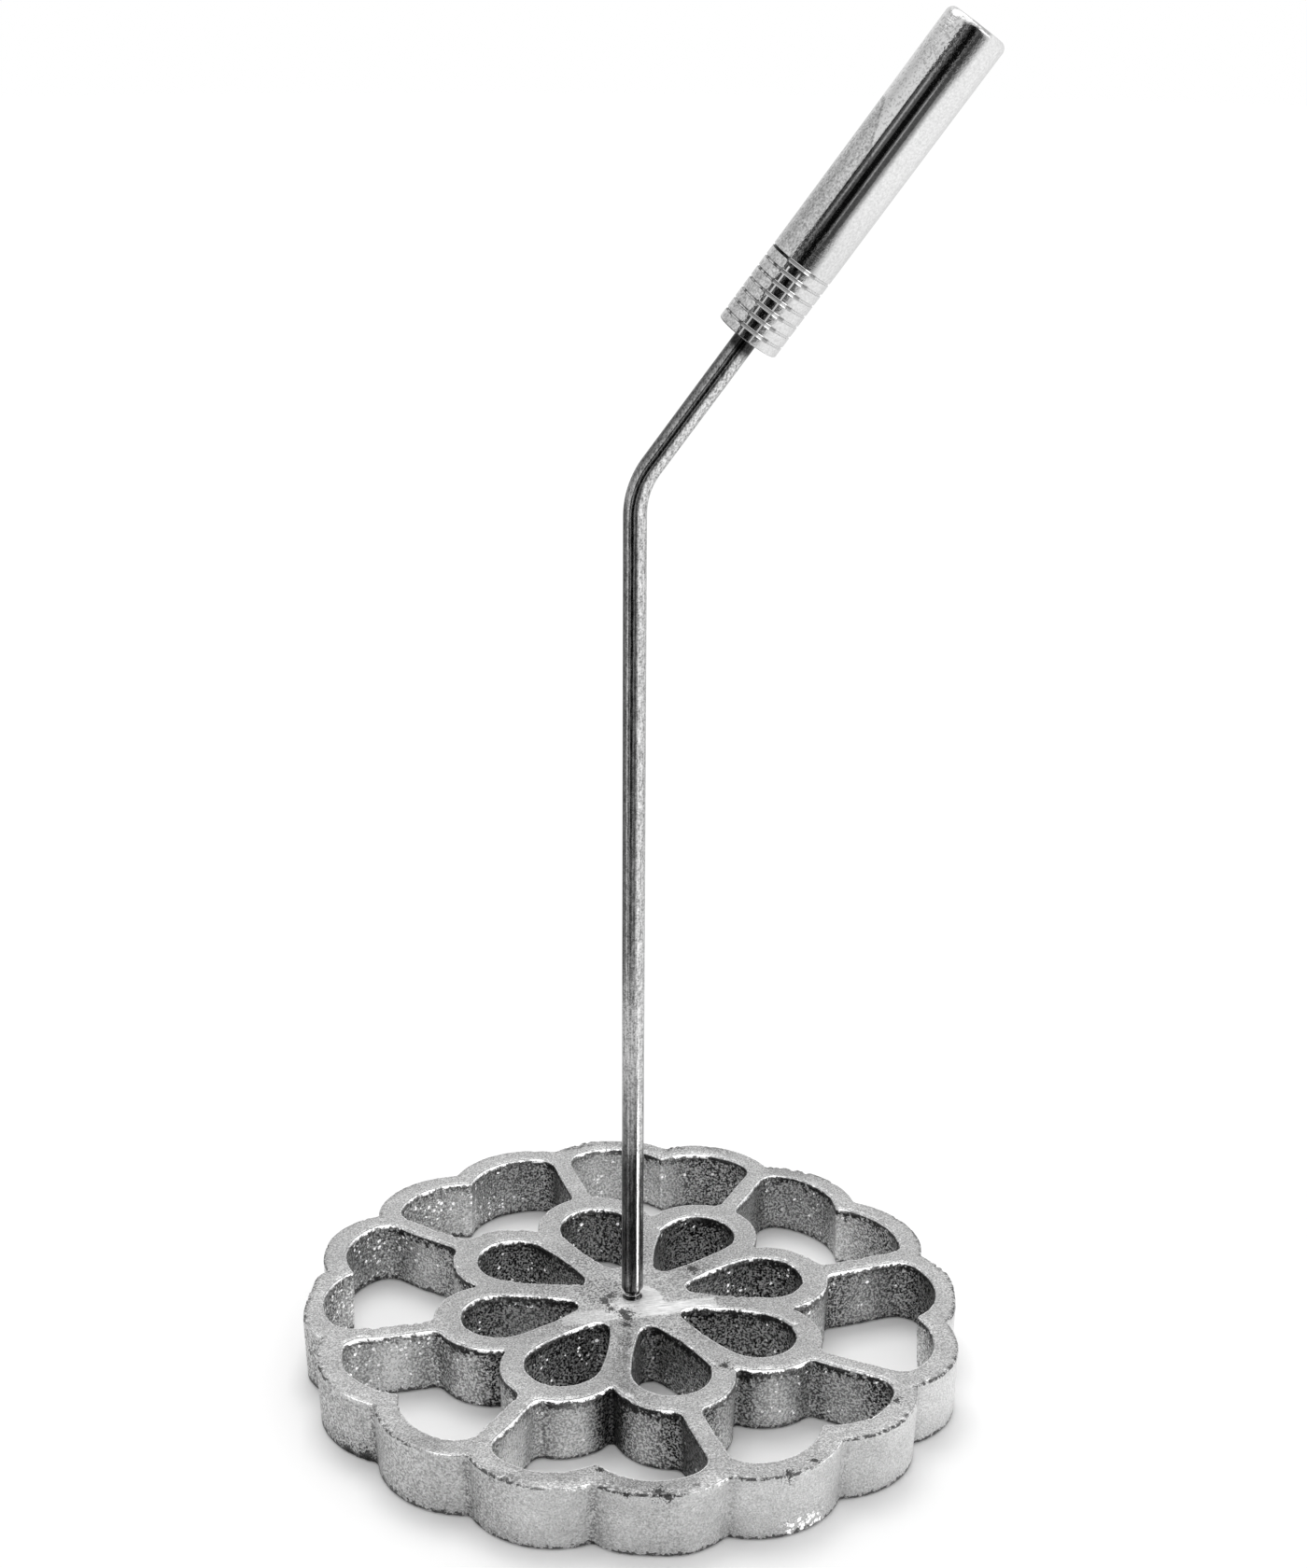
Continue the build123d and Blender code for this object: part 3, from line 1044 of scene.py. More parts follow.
def sand_cast(points, normals):
    """The points moved into the metal by the casting's waves and bumps."""
    moved = points.copy()
    for index, (point, normal) in enumerate(zip(points, normals)):
        waves = noise.noise(Vector(point) / wave_size) * 0.5 + 0.5
        bumps = noise.noise(Vector(point) / bump_size + bump_shift) * 0.5 + 0.5
        moved[index] = point - normal * (wave_depth * waves + bump_depth * bumps)
    return moved


even_points = np.array(casting.points)
casting_points = sand_cast(even_points, mesh_normals(even_points, casting.faces))
casting_points[:, 2] = np.clip(casting_points[:, 2], 0, top)
print("the casting reaches from", casting_points.min(0).round(2), "to", casting_points.max(0).round(2), "mm")

# %% [markdown]
# Every piece becomes an object in the same way. Its points are already in the shared frame, in mm, so it only
# has to be scaled, given its material, and told which body it rides on and which CAD nodes it stands for. It
# is shaded smooth, except across edges that really are sharp.

# %% Helper for pieces
def new_piece(name, mesh, points, body, material, replaced, marks, sharp_angle=35):
    """A piece that rides on its body in the place of a CAD node. Edges past the sharp angle stay sharp."""
    data = bpy.data.meshes.new(name)
    vertices = [tuple(point) for point in np.array(points) * MM]
    data.from_pydata(vertices, [], [list(face) for face in mesh.faces])
    data.polygons.foreach_set("use_smooth", [True] * len(data.polygons))
    data.set_sharp_from_angle(angle=math.radians(sharp_angle))
    for mark in marks:
        values = np.array(mesh.marks[mark], dtype=np.float32)
        data.attributes.new(mark, "FLOAT", "POINT").data.foreach_set("value", values)
    data.materials.append(material)
    data.update()
    piece = bpy.data.objects.new(name, data)
    bpy.context.scene.collection.objects.link(piece)
    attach(piece, body)
    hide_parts(replaced)
    return piece


print("pieces are made in mm and scaled by", MM)

# %% [markdown]
# Cast aluminium is a light grey metal, dull because it is rough. Seen close, it is a mass of small bright and
# dark grains. The grains are colour noise and bump together, because a bump alone washes out in soft light.
# All of the casting's finish works from the same few fields: where a place is, which way it faces, its marks
# and its noises.

# %% What the casting's finish works from
facing_up = (0.85, 0.97)            # how far a place must face up to count as the top
grain_size, coarse_size, pore_size, cloud_size = 0.40, 1.1, 0.50, 7.0       # mm


def known_about(tree):
    """The fields that the casting's finish works from. x, y and from_axis are in metres, height in mm."""
    coords = add(tree, "TexCoord")
    here = SimpleNamespace(tree=tree, place=Field(coords.outputs["Object"]))
    here.x, here.y, z = split(here.place)
    here.height = z * (1 / MM)
    here.flat = Field(add(tree, "CombineXYZ", {0: here.x, 1: here.y, 2: 0.0}).outputs[0])
    here.from_axis = vectors("LENGTH", here.flat)
    here.upwards = split(Field(coords.outputs["Normal"]))[2]
    here.on_top = spread(here.upwards, facing_up)
    for name in ("residue", "inner", "outer", "to_right", "to_front"):
        setattr(here, name, marked(tree, name))
    here.in_opening = here.inner * (1.0 - here.on_top)
    here.grain = grains(here.place, grain_size, detail=1.0, roughness=0.6)
    here.coarse = grains(here.place, coarse_size, detail=3.0, roughness=0.7)
    here.pores = grains(here.place, pore_size, detail=1.0, roughness=0.6)
    here.cloud = grains(here.place, cloud_size, detail=3.0)
    return here


print("grains of", grain_size, "mm, with pores of", pore_size, "mm")

# %% [markdown]
# The walls, which touched the sand, are coarser than the top, which was rubbed flat and is a little darker
# near the hub and at the very front. The dark skin and painted shade lie over the bare metal where the marks
# say so, with a ragged edge. Where the marks ask for less than none, the metal is brighter, as painted light.
# Where they ask for more than all, it is sooty and darker still, as painted shade.

# %% Bare metal, dark skin and painted shade
grain_tones = (0.56, 0.90)
wall_pore_tones = (0.46, 1.0)
cloud_tones = (0.90, 1.06)
skin_and_shade_tones = (0.0, 0.66)
skin_and_shade_raggedness = (-0.16, 0.16)
ragged_where_skin_and_shade = (0.05, 0.3)
hub_to_rim = (0.012, 0.065)             # metres, from the hub to the rim
top_tones = (0.60, 0.81)
front_end = (-0.074, -0.045)            # metres along Y
front_end_tones = (0.84, 1)
top_pore_tones = (0.76, 1.24)
hub_pores = (0.018, 0.034)              # metres from the axis, over which the hub's strong pores fade
hub_pore_tones = (0.55, 1.35)
painted_light_range, painted_light_gain = (-0.6, 0), (1.35, 1)         # where the mark asks for less than no skin: painted light
soot_and_shade_range, soot_and_shade_gain = (1.0, 1.6), (1, 0.4)      # and for more than all of it: soot and painted shade


def metal_skin_and_shade(here):
    """The colour of the casting before anything was done to it by hand, with its dark skin and the painted
    light and shade that share its mark.
    """
    clean = varied(here.grain, (0.32, 0.68), grain_tones)
    clean = mixed(here.in_opening, clean, varied(here.pores, (0.38, 0.62), wall_pore_tones))
    clean = clean * varied(here.cloud, (0.3, 0.7), cloud_tones)
    speckled = varied(here.pores, (0.36, 0.64), top_pore_tones)
    hub_speckled = varied(here.pores, (0.38, 0.60), hub_pore_tones)
    speckled = mixed(spread(here.from_axis, hub_pores, (1.0, 0.0)), speckled, hub_speckled)
    top_tone = spread(here.from_axis, hub_to_rim, top_tones) * spread(here.y, front_end, front_end_tones)
    rubbed = clean * mixed(here.on_top, grey(1), top_tone * speckled)

    # the dark colour of the skin, which also serves as painted shade
    dark = varied(here.pores, (0.44, 0.60), skin_and_shade_tones)
    patchy = varied(here.coarse, (0.35, 0.65), skin_and_shade_raggedness)
    share = here.residue + patchy * spread(here.residue, ragged_where_skin_and_shade)
    colour = mixed(smaller(larger(share, 0.0), 1.0), rubbed, dark)
    # painted light where the mark is below 0, and soot and painted shade where it is above 1
    return colour * (spread(here.residue, painted_light_range, painted_light_gain) * spread(here.residue, soot_and_shade_range, soot_and_shade_gain))


print("the top goes from a tone of", top_tones[0], "at the hub to", top_tones[1], "at the rim")

# %% [markdown]
# The walls glitter with flecks, where a grain of sand broke out and left clean metal, more of them on the
# left. Each is the middle of a Voronoi cell, with a chance and a size of its own. One wall at the back left
# has hardly any. Low on the front right lobe the surface has broken away, and flecks lie close together
# there.

# %% Flecks of clean metal
fleck_spacing = 1.0                     # mm
fleck_push = 0.9                        # mm by which a noise bends the cells, so that no fleck is round
fleck_sizes = (0.20, 0.52)              # mm
fleck_ragged, fleck_blur = 0.35, (0.10, 0.20)
patch_core = 0.5                        # the share of a patch's reach over which it is full
left_to_middle = (-0.070, -0.020)       # metres along X
flecks_missing = (0.50, 0.92)           # the share of cells without a fleck, on the left and elsewhere
cloud_of_flecks = (0.25, -0.2)
smooth_wall = (-49.0, 21.0, 12.0)       # middle and reach in mm of the wall with hardly any
smooth_wall_misses = 0.35               # how much larger that share is there
rough_patch = (39.0, -63.6, 7.6)        # middle and reach of the broken patch
rough_patch_top = (2.5, 6.0)            # heights in mm over which it ends
rough_patch_misses, rough_patch_grows = 0.9, 0.2


def near_patch(here, patch, core):
    """1 in the core of a round patch in the plan, 0 outside it."""
    return spread(away_from(here.flat, patch[:2]), (patch[2] * core, patch[2]), (1, 0))


def find_flecks(here):
    """Where the flecks are."""
    push = vectors("MULTIPLY", here.coarse, mm(fleck_push, fleck_push, fleck_push))
    ways = {"Vector": vectors("ADD", here.place, push), "Scale": 1 / (fleck_spacing * MM), "Randomness": 1.0}
    cells = add(here.tree, "TexVoronoi", ways)
    chance, size, _ = split(Field(cells.outputs["Color"]))
    broken = near_patch(here, rough_patch, patch_core) * spread(here.height, rough_patch_top, (1, 0))
    missing = spread(here.x, left_to_middle, flecks_missing)
    missing = missing + varied(here.cloud, (0.35, 0.65), cloud_of_flecks)
    from_smooth = away_from(here.flat, smooth_wall[:2])
    smooth_reach = (smooth_wall[2] * patch_core, smooth_wall[2])
    missing = missing + spread(from_smooth, smooth_reach, (smooth_wall_misses, 0))
    missing = missing - broken * rough_patch_misses
    reach = varied(size, (0, 1), fleck_sizes) + broken * rough_patch_grows
    past = (Field(cells.outputs["Distance"]) + here.grain * fleck_ragged) - reach
    fleck = spread(past, fleck_blur, (1, 0)) * (chance > missing)
    return fleck * larger(here.in_opening, broken)


print("flecks lie about", fleck_spacing, "mm apart")

# %% [markdown]
# The edges of the openings are worn bright, and where they face the front a highlight is painted on them in
# white, as it is on the rim's edge on the right flank of each scallop, which faces the light on the right.
# The band follows how far the rounded edge has turned, roughened by noise, as a cloth wheel would leave it.
# Just below the edge lies painted shade, in a ragged dark line, strongest where the wall faces left.

# %% Worn edges with a painted highlight, and the painted shade below them
wear_and_highlight_size = 5.0                         # mm
wear_and_highlight_ragged, wear_and_highlight_patchy = (-0.8, 0.8), (-0.65, 0.35)
wear_and_highlight_begins, wear_and_highlight_ends = (0.28, 0.40), (0.82, 0.90)     # how far the edge has turned up
wear_and_highlight_lowest = (14.5, 14.8)              # mm
# the highlight is painted on opening edges that face the front and on the rim's edges that face right,
# towards the light
opening_faces_front, rim_faces_right = (0.1, 0.5), (0.10, 0.26)
opening_faces_left, left_wear_and_highlight = (-0.42, -0.12), (0.1, 1)        # there is less painted highlight where it also faces left, away from the light
petal_walls = (0.044, 0.048)            # metres from the axis, inside which an opening is in the flower
petal_shade_rise = 0.5                  # mm
shade_ragged = (-1.9, 1.9)              # mm
shade_begins, shade_ends = (13.8, 14.2), (15.1, 15.3)   # mm
shade_left_to_right, shade_shares = (-0.3, 0.3), (0.95, 0.6)
shade_tone = 0.02


def find_wear_and_highlight(here):
    """Where the edges are worn bright and a highlight is painted on them: where they face the front, and on
    the rim's right flanks.
    """
    turned_up = here.upwards + varied(here.coarse, (0.34, 0.66), wear_and_highlight_ragged)
    turned_up = turned_up + varied(grains(here.place, wear_and_highlight_size), (0.36, 0.60), wear_and_highlight_patchy)
    band = spread(turned_up, wear_and_highlight_begins) * spread(here.upwards, wear_and_highlight_ends, (1, 0))
    band = band * spread(here.height, wear_and_highlight_lowest)
    in_front = here.inner * spread(here.to_front, opening_faces_front)
    in_front = in_front * spread(here.to_right, opening_faces_left, left_wear_and_highlight)
    on_right = here.outer * spread(here.to_right, rim_faces_right)
    return larger(in_front, on_right) * band


def find_shade(here, wear_and_highlight):
    """Where the dark line of painted shade below the openings' edges is."""
    # painted shade: a ragged dark line just under the rounded edge, stronger where the wall faces left
    rough_height = here.height + varied(here.coarse, (0.3, 0.7), shade_ragged)
    rough_height = rough_height + spread(here.from_axis, petal_walls, (1, 0)) * petal_shade_rise
    line = spread(rough_height, shade_begins) * spread(here.height, shade_ends, (1, 0))
    line = line * (here.inner * spread(here.to_right, shade_left_to_right, shade_shares))
    return line * (1.0 - wear_and_highlight)


print("the shade below the edges begins", round(top - shade_begins[1], 1), "mm down")

# %% [markdown]
# Painted shade darkens the foot of every wall, where it meets the table, more on the left, away from the
# light, and lies in a thin broken line under the outer rim's edge, except on the right flank of each scallop,
# which faces the light.

# %% Painted shade at the foot and under the rim
foot_heights = (0.1, 1.5)               # mm that the painted shade reaches up
foot_left = (-0.070, -0.030)            # metres along X
foot_left_gain = (1.6, 1)
foot_share, foot_tone = 0.8, 0.04
rim_line_begins, rim_line_ends = (14.9, 15.15), (15.55, 15.75)      # mm
rim_line_left = (0.02, 0.20)            # how far the rim may turn right before the line ends
rim_line_broken = (0.46, 0.52)          # the values of the noise between which it breaks off
rim_line_share, rim_line_tone = 0.85, 0.03


def painted_shade_at_foot_and_rim(here, colour):
    """The colour with painted shade along the foot and under the rim's edge."""
    foot_top = varied(here.coarse, (0.35, 0.65), foot_heights) * spread(here.x, foot_left, foot_left_gain)
    colour = mixed((here.height < foot_top) * foot_share, colour, grey(foot_tone))
    line = (here.outer * spread(here.height, rim_line_begins)) * spread(here.coarse, rim_line_broken)
    line = line * spread(here.height, rim_line_ends, (1, 0))
    line = line * spread(here.to_right, rim_line_left, (1, 0))
    return mixed(line * rim_line_share, colour, grey(rim_line_tone))


print("the dirt reaches up to", round(foot_heights[1] * foot_left_gain[0], 1), "mm up the walls")

# %% [markdown]
# Round the rod the hub was ground flat after casting, so that the shoulder seats well: a spot, and a brushed
# band that runs across it, with fine scratches along the band. The grinder missed a patch on the left, which
# stayed mottled. Where the band has gone dull on the left, less of the brushed tone shows.

# %% Grind the hub
ground_spot = (0.3, -2.4, 7.5)          # mm, middle and radius of the spot round the rod
ground_band = (2.0, -6.6, 18.5, 2.7)    # mm, middle, half length and half width of the band
ground_turn = 15                        # degrees that the band rises to the right
ground_ragged = (-0.5, 0.5)             # mm
ground_blur = 0.5
scratch_width, scratch_stretch = 0.30, 14
brushed_tones, brushed_patches = (0.62, 0.98), (0.88, 1.06)
dull_to_bright = (-0.012, 0.004)        # metres along X
brushed_shares = (0.5, 0.95)
mottled = (-7.8, 1.8, 7.0)              # mm, middle and radius of the patch that the grinding missed
mottled_core = 0.6
mottled_tone, speck_share, speck_tone = 0.86, 0.85, 0.06


def grind_hub(here, colour):
    """The colour with the ground spot, the brushed band and the patch that was missed."""
    edge = varied(here.coarse, (0.3, 0.7), ground_ragged)
    from_spot = away_from(here.flat, ground_spot[:2]) + edge
    from_middle = vectors("SUBTRACT", here.flat, mm(*ground_band[:2], 0))
    along, across, _ = split(turned_place(from_middle, (0, 0, -ground_turn), 1 / MM))
    past_band = larger(abs(along) - ground_band[2], abs(across) - ground_band[3]) + edge
    in_spot = spread(from_spot, (ground_spot[2] - ground_blur, ground_spot[2]), (1, 0))
    ground = larger(in_spot, spread(past_band, (-ground_blur, 0), (1, 0)))
    in_mottle = near_patch(here, mottled, mottled_core)
    ground = (ground * (1.0 - in_mottle)) * here.on_top

    along_band = turned_place(here.place, (0, 0, -ground_turn))
    scratches = grains(along_band, scratch_width, detail=2.0, stretch=(scratch_stretch, 1, 1))
    brushed = varied(scratches, (0.35, 0.65), brushed_tones)
    brushed = brushed * varied(here.coarse, (0.35, 0.65), brushed_patches)
    colour = mixed(ground * spread(here.x, dull_to_bright, brushed_shares), colour, brushed)
    in_mottle = in_mottle * here.on_top
    colour = colour * varied(in_mottle, (0, 1), (1, mottled_tone))
    specks = in_mottle * spread(here.pores, (0.47, 0.36))
    return mixed(specks * speck_share, colour, grey(speck_tone))


print("the ground spot is", 2 * ground_spot[2], "mm across")

# %% [markdown]
# What is left are single marks of this one casting: smudges on its top that are lighter or darker than the
# rest, and pits, where gas was trapped or a tool struck. A list of places is the honest way to put them where
# they are. The noise breaks up the pits' outlines.

# %% Smudges and pits
smudges = [                 # place and reach on the top in mm, and how much lighter it is
    (-1.0, -19.5, 8.0, 0.26), (-20.2, 27.6, 9.0, 0.12), (36.9, 61.3, 8.0, -0.24), (-41.5, -62.1, 8.0, -0.20),
    (-27.0, -66.0, 8.0, 0.10), (4.6, 1.6, 4.5, -0.12), (12.5, 7.0, 6.0, -0.12), (-0.9, -5.2, 3.0, 0.22),
    (0.5, -4.2, 3.2, 0.14), (5.5, -7.0, 5.0, 0.08),
]
pits = [                    # place and radius, in mm
    (-5.2, -0.4, 15.8, 1.5), (-6.6, -2.0, 15.8, 1.3), (-6.1, -3.3, 15.8, 1.2), (-5.5, -4.6, 15.8, 1.0),
    (-4.6, -6.0, 15.8, 1.1), (-1.7, -7.2, 15.8, 1.9), (-0.9, -9.2, 15.8, 1.9), (-0.6, -12.4, 15.8, 1.4),
    (13.8, 12.5, 15.8, 1.9), (21.9, -27.6, 15.8, 1.5), (9.2, -74.0, 15.6, 1.3), (11.0, -75.0, 15.2, 1.2),
    (2.7, -75.0, 15.2, 0.8), (35.8, -66.5, 15.4, 1.2), (41.3, -61.8, 15.6, 1.0), (-26.4, -70.7, 15.4, 1.0),
    (-3.3, -67.3, 15.8, 1.0), (59.3, -39.4, 15.8, 1.2), (-20.3, -72.2, 1.9, 0.5), (-56.0, -45.5, 0.8, 3.0),
    (-60.5, -42.5, 0.5, 2.4),
]
pit_ragged = (0.4, 1.9)     # by how much the noise stretches the way to a pit's middle
pit_share, pit_tone = 0.9, 0.03
smudge_core, pit_core = 0.4, 0.6        # the shares of their reach over which they are full


def smudge_and_pit(here, colour):
    """The colour with this casting's own smudges and pits."""
    for x, y, reach, more in smudges:
        smudge = spread(away_from(here.flat, (x, y)), (reach * smudge_core, reach), (1 + more, 1))
        colour = mixed(here.on_top, colour, colour * smudge)
    stretched = varied(here.coarse + here.grain, (0.8, 1.2), pit_ragged)
    for *middle, radius in pits:
        away = away_from(here.place, middle) * stretched
        in_pit = spread(away, (radius * pit_core, radius), (pit_share, 0))
        colour = mixed(in_pit, colour, grey(pit_tone))
    return colour


print(len(smudges), "smudges and", len(pits), "pits")

# %% [markdown]
# The finish is put together now. The relief is deep on the walls and shallow on the rubbed top. A fleck is a
# bump too small for the noise, and its upper side faces the light, so flecks and the worn edges with their
# painted highlight also tip the normal upwards. Round the rod the grinding's cross marks scatter light like a
# matt surface, so the metal is less of a mirror there.

# %% Finish of the casting
relief_depth = 0.22         # mm
coarse_relief, fleck_relief = 1.5, 1.2
top_relief = 0.16           # of the walls' relief
wear_and_highlight_lift, highest_lift = 0.8, 1.1
grain_roughness = (0.0, 0.12)
wall_and_top_roughness = (0.36, 0.20)
wear_and_highlight_roughness = 0.65       # of what is round it
round_rod = (0.010, 0.020)  # metres from the axis
round_rod_roughness, round_rod_metallic = 0.16, 0.25


def build_cast_aluminium():
    """Grainy cast aluminium with dark skin on its walls, worn edges, and a ground hub."""
    material, tree = new_material("cast_aluminium")
    here = known_about(tree)
    fleck, wear_and_highlight = find_flecks(here), find_wear_and_highlight(here)
    colour = mixed(fleck, metal_skin_and_shade(here), grey(1.0))
    # a highlight painted white on the worn edges, then the painted shade below them
    colour = mixed(wear_and_highlight, colour, grey(1.0))
    colour = mixed(find_shade(here, wear_and_highlight), colour, grey(shade_tone))
    # painted shade at the foot of the walls and under the rim, then the ground hub, smudges and pits
    colour = smudge_and_pit(here, grind_hub(here, painted_shade_at_foot_and_rim(here, colour)))

    relief = (here.grain + here.coarse * coarse_relief) + fleck * fleck_relief
    normal = bumped(relief * varied(here.on_top, (0, 1), (1.0, top_relief)), relief_depth)
    normal = lifted_by(normal, larger(fleck, wear_and_highlight * wear_and_highlight_lift) * highest_lift)
    roughness = varied(here.grain, (0.3, 0.7), grain_roughness)
    roughness = roughness + varied(here.on_top, (0, 1), wall_and_top_roughness)
    roughness = roughness * varied(larger(wear_and_highlight, fleck), (0, 1), (1.0, wear_and_highlight_roughness))
    near_rod = spread(here.from_axis, round_rod, (1.0, 0.0)) * here.on_top
    roughness = roughness + near_rod * round_rod_roughness
    metallic = varied(near_rod, (0, 1), (1.0, round_rod_metallic))
    show_metal(tree, colour, metallic, roughness, normal)
    return material


cast_aluminium = build_cast_aluminium()
mould = new_piece(
    "flower_mould", casting, casting_points, "mould", cast_aluminium, "rosette_mould",
    marks=mark_names, sharp_angle=60,
)
print("the mould rides on body mould, with", len(mould.data.polygons), "faces")

# %% [markdown]
# The rod is a tube of rings that follow its middle line: up from the shoulder, round the bend, and on into
# the handle. The CAD solid's facets would show as kinks in the long reflections, so the rings have many
# points and sit closer together in the bend, where the bar flattened slightly when it was bent.

# %% Middle line of the rod
rod_radius = 2.5            # mm
shoulder = rod_low[2]
bend_height = 191.8         # from the mould's top to where the straight stretches would cross
bend_turn = 35.7            # degrees
bend_angle = math.radians(bend_turn)
bend_radius = 18.0
bare_slope = 38.7
rod_in_handle = 24.9
slope = Vector((math.sin(bend_angle), 0, math.cos(bend_angle)))
bend_corner = Vector((0, 0, top + bend_height))
bend_reach = bend_radius * math.tan(bend_angle / 2)
bend_start = top + bend_height - bend_reach - shoulder
bend_length = bend_radius * bend_angle
rod_length = bend_start + bend_length + bare_slope + rod_in_handle - bend_reach
rod_mouth = rod_length - rod_in_handle      # where it goes into the handle


def on_rod(along):
    """Middle point and direction of the rod, this far from the shoulder."""
    if along < bend_start:
        return Vector((0, 0, shoulder + along)), Vector((0, 0, 1))
    turn = min((along - bend_start) / bend_radius, bend_angle)
    centre = Vector((bend_radius, 0, shoulder + bend_start))
    way = Vector((math.sin(turn), 0, math.cos(turn)))
    place = centre + Vector((-math.cos(turn), 0, math.sin(turn))) * bend_radius
    return place + way * max(along - bend_start - bend_length, 0), way


print("the rod is", round(rod_length), "mm long, from its shoulder")

# %% [markdown]
# The rings carry one mark, which says how much painted shade darkens the bar. On the slope the upper left
# side is painted darker, more so towards its outline, and along the whole bar the right outline is painted a
# little darker. In the last few mm before the handle, the bar is painted nearly black, as the shade in the
# corner where it goes into the handle.

# %% Build the rod
shoulder_chamfer = 0.5      # mm
bend_flattening = 0.02      # how much thinner the bar is in the middle of the bend
rod_sides = 72
stem_rows, bend_rows, slope_rows = 60, 25, 22
rows_before_mouth = (5.5, 4.5, 3.5, 3.0, 2.5, 0.5)      # mm
# how much painted shade darkens the bar, by how far a point faces left, how far it faces right, and mm before
# the handle
left_shade_facing, film_dull = (0.15, 0.35, 0.60, 0.88), (0, 0.18, 0.42, 0.72)
outline_facing, outline_dull = (0.66, 0.90), (0, 0.24)
corner_before_mouth, corner_dull = (5.5, 3.5, 2.5), (0, 0.5, 0.93)


def build_rod():
    """The bent rod, with its shoulder's chamfer."""
    tube, around = Mesh(), round_about(rod_sides)
    stations = [0, shoulder_chamfer / 2, shoulder_chamfer]
    stations += list(np.linspace(shoulder_chamfer, bend_start, stem_rows)[1:])
    stations += list(np.linspace(bend_start, bend_start + bend_length, bend_rows)[1:])
    stations += list(np.linspace(bend_start + bend_length, rod_length, slope_rows)[1:])
    stations += [rod_mouth - before for before in rows_before_mouth]
    corner = [rod_mouth - before for before in corner_before_mouth]
    rings = []
    for along in sorted(stations):
        middle, way = on_rod(along)
        inwards = Vector((0, 1, 0)).cross(way)
        radius = rod_radius - max(shoulder_chamfer - along, 0)
        on_slope = min(max((along - bend_start) / bend_length, 0), 1)
        flat = radius * (1 - bend_flattening * math.sin(math.pi * on_slope))
        ring = [middle + inwards * (flat * math.cos(turn)) + Vector((0, radius * math.sin(turn), 0))
                for turn in around]
        # painted shade: the slope's left side, the right outline, and the corner at the handle
        dull = np.interp(-np.cos(around), left_shade_facing, film_dull) * on_slope
        dull = np.maximum(dull, np.interp(np.cos(around), outline_facing, outline_dull))
        dull = np.maximum(dull, np.interp(along, corner, corner_dull))
        rings.append(tube.ring(ring, dull=dull))
    tube.tube(rings)
    return tube


rod_mesh = build_rod()
print("the rod's mesh has", len(rod_mesh.points), "points")

# %% [markdown]
# The rod's lower part is painted dark, with lighter stripes along the bar, as a painted reflection of the
# room and the mould round it. One stripe is painted bright as a highlight of the lamp, and its normals are
# tipped up. Stripes are simplest to write as directions round the bar, which the finish works out from its
# own place.

# %% Painted reflection: a dark lower part with light stripes
dark_reflection_full, dark_reflection_from = 42.0, 80.0     # mm above the mould, between which the painted dark reflection fades out upwards
dark_reflection_tone = 0.22                          # what the painted dark reflection leaves of the steel's tone
# where the painted stripes lie: direction from the front towards the right and half width in degrees, tone
# there, and how far above the mould it starts
painted_stripes = [
    (-20.0, 9.0, 0.5, 0), (31.0, 9.5, 1.6, 0), (60.0, 8.0, 0.8, 0),
    (0.0, 16.0, 0.42, 26), (48.0, 26.0, 0.95, 26),
]
stripe_blur, stripe_core = 6, 0.4         # mm, and the share of its half width over which a stripe is full


def find_painted_stripes(around, height):
    """The tone of the painted stripes, and where the brightest one is."""
    tone, brightest = dark_reflection_tone, None
    for direction, half_width, stripe_tone, start in painted_stripes:
        stripe = spread(abs(around - direction), (half_width * stripe_core, half_width), (1, 0))
        stripe = stripe * spread(height, (top + start - stripe_blur, top + start + stripe_blur))
        tone = larger(tone, stripe * stripe_tone)
        if stripe_tone == max(row[2] for row in painted_stripes):
            brightest = stripe
    return tone, brightest


print("the stain is wiped in", len(painted_stripes), "stripes, and ends", dark_reflection_from, "mm above the mould")

# %% [markdown]
# The steel was drawn and polished, which leaves faint lines along the bar over a fine grain. Two thin rings
# of painted shade, with a bead of painted highlight between them, close the bar above its shoulder. They are
# so thin that two heights say where each is, and a mesh needn't have them.

# %% Finish of the rod
drawn_width, drawn_stretch, steel_grain = 0.35, 9, 0.46     # mm
steel_tones = (0.28, 1.0)
rubbed_lift = 0.5                       # how far the cross marks of the brightest painted stripe tip the light up
painted_shade_rings = [(0.0, 0.5, 0.9), (1.3, 1.8, 0.8)]      # mm above the mould from and to, and how dark the painted shade is
shade_ring_tone, bead_highlight_tone = 0.03, 0.7
steel_roughness = (0.07, 0.17)
steel_relief = 0.008                    # mm


def between(value, low, high):
    """1 between two numbers, and 0 outside them."""
    return (value > low) * (value < high)


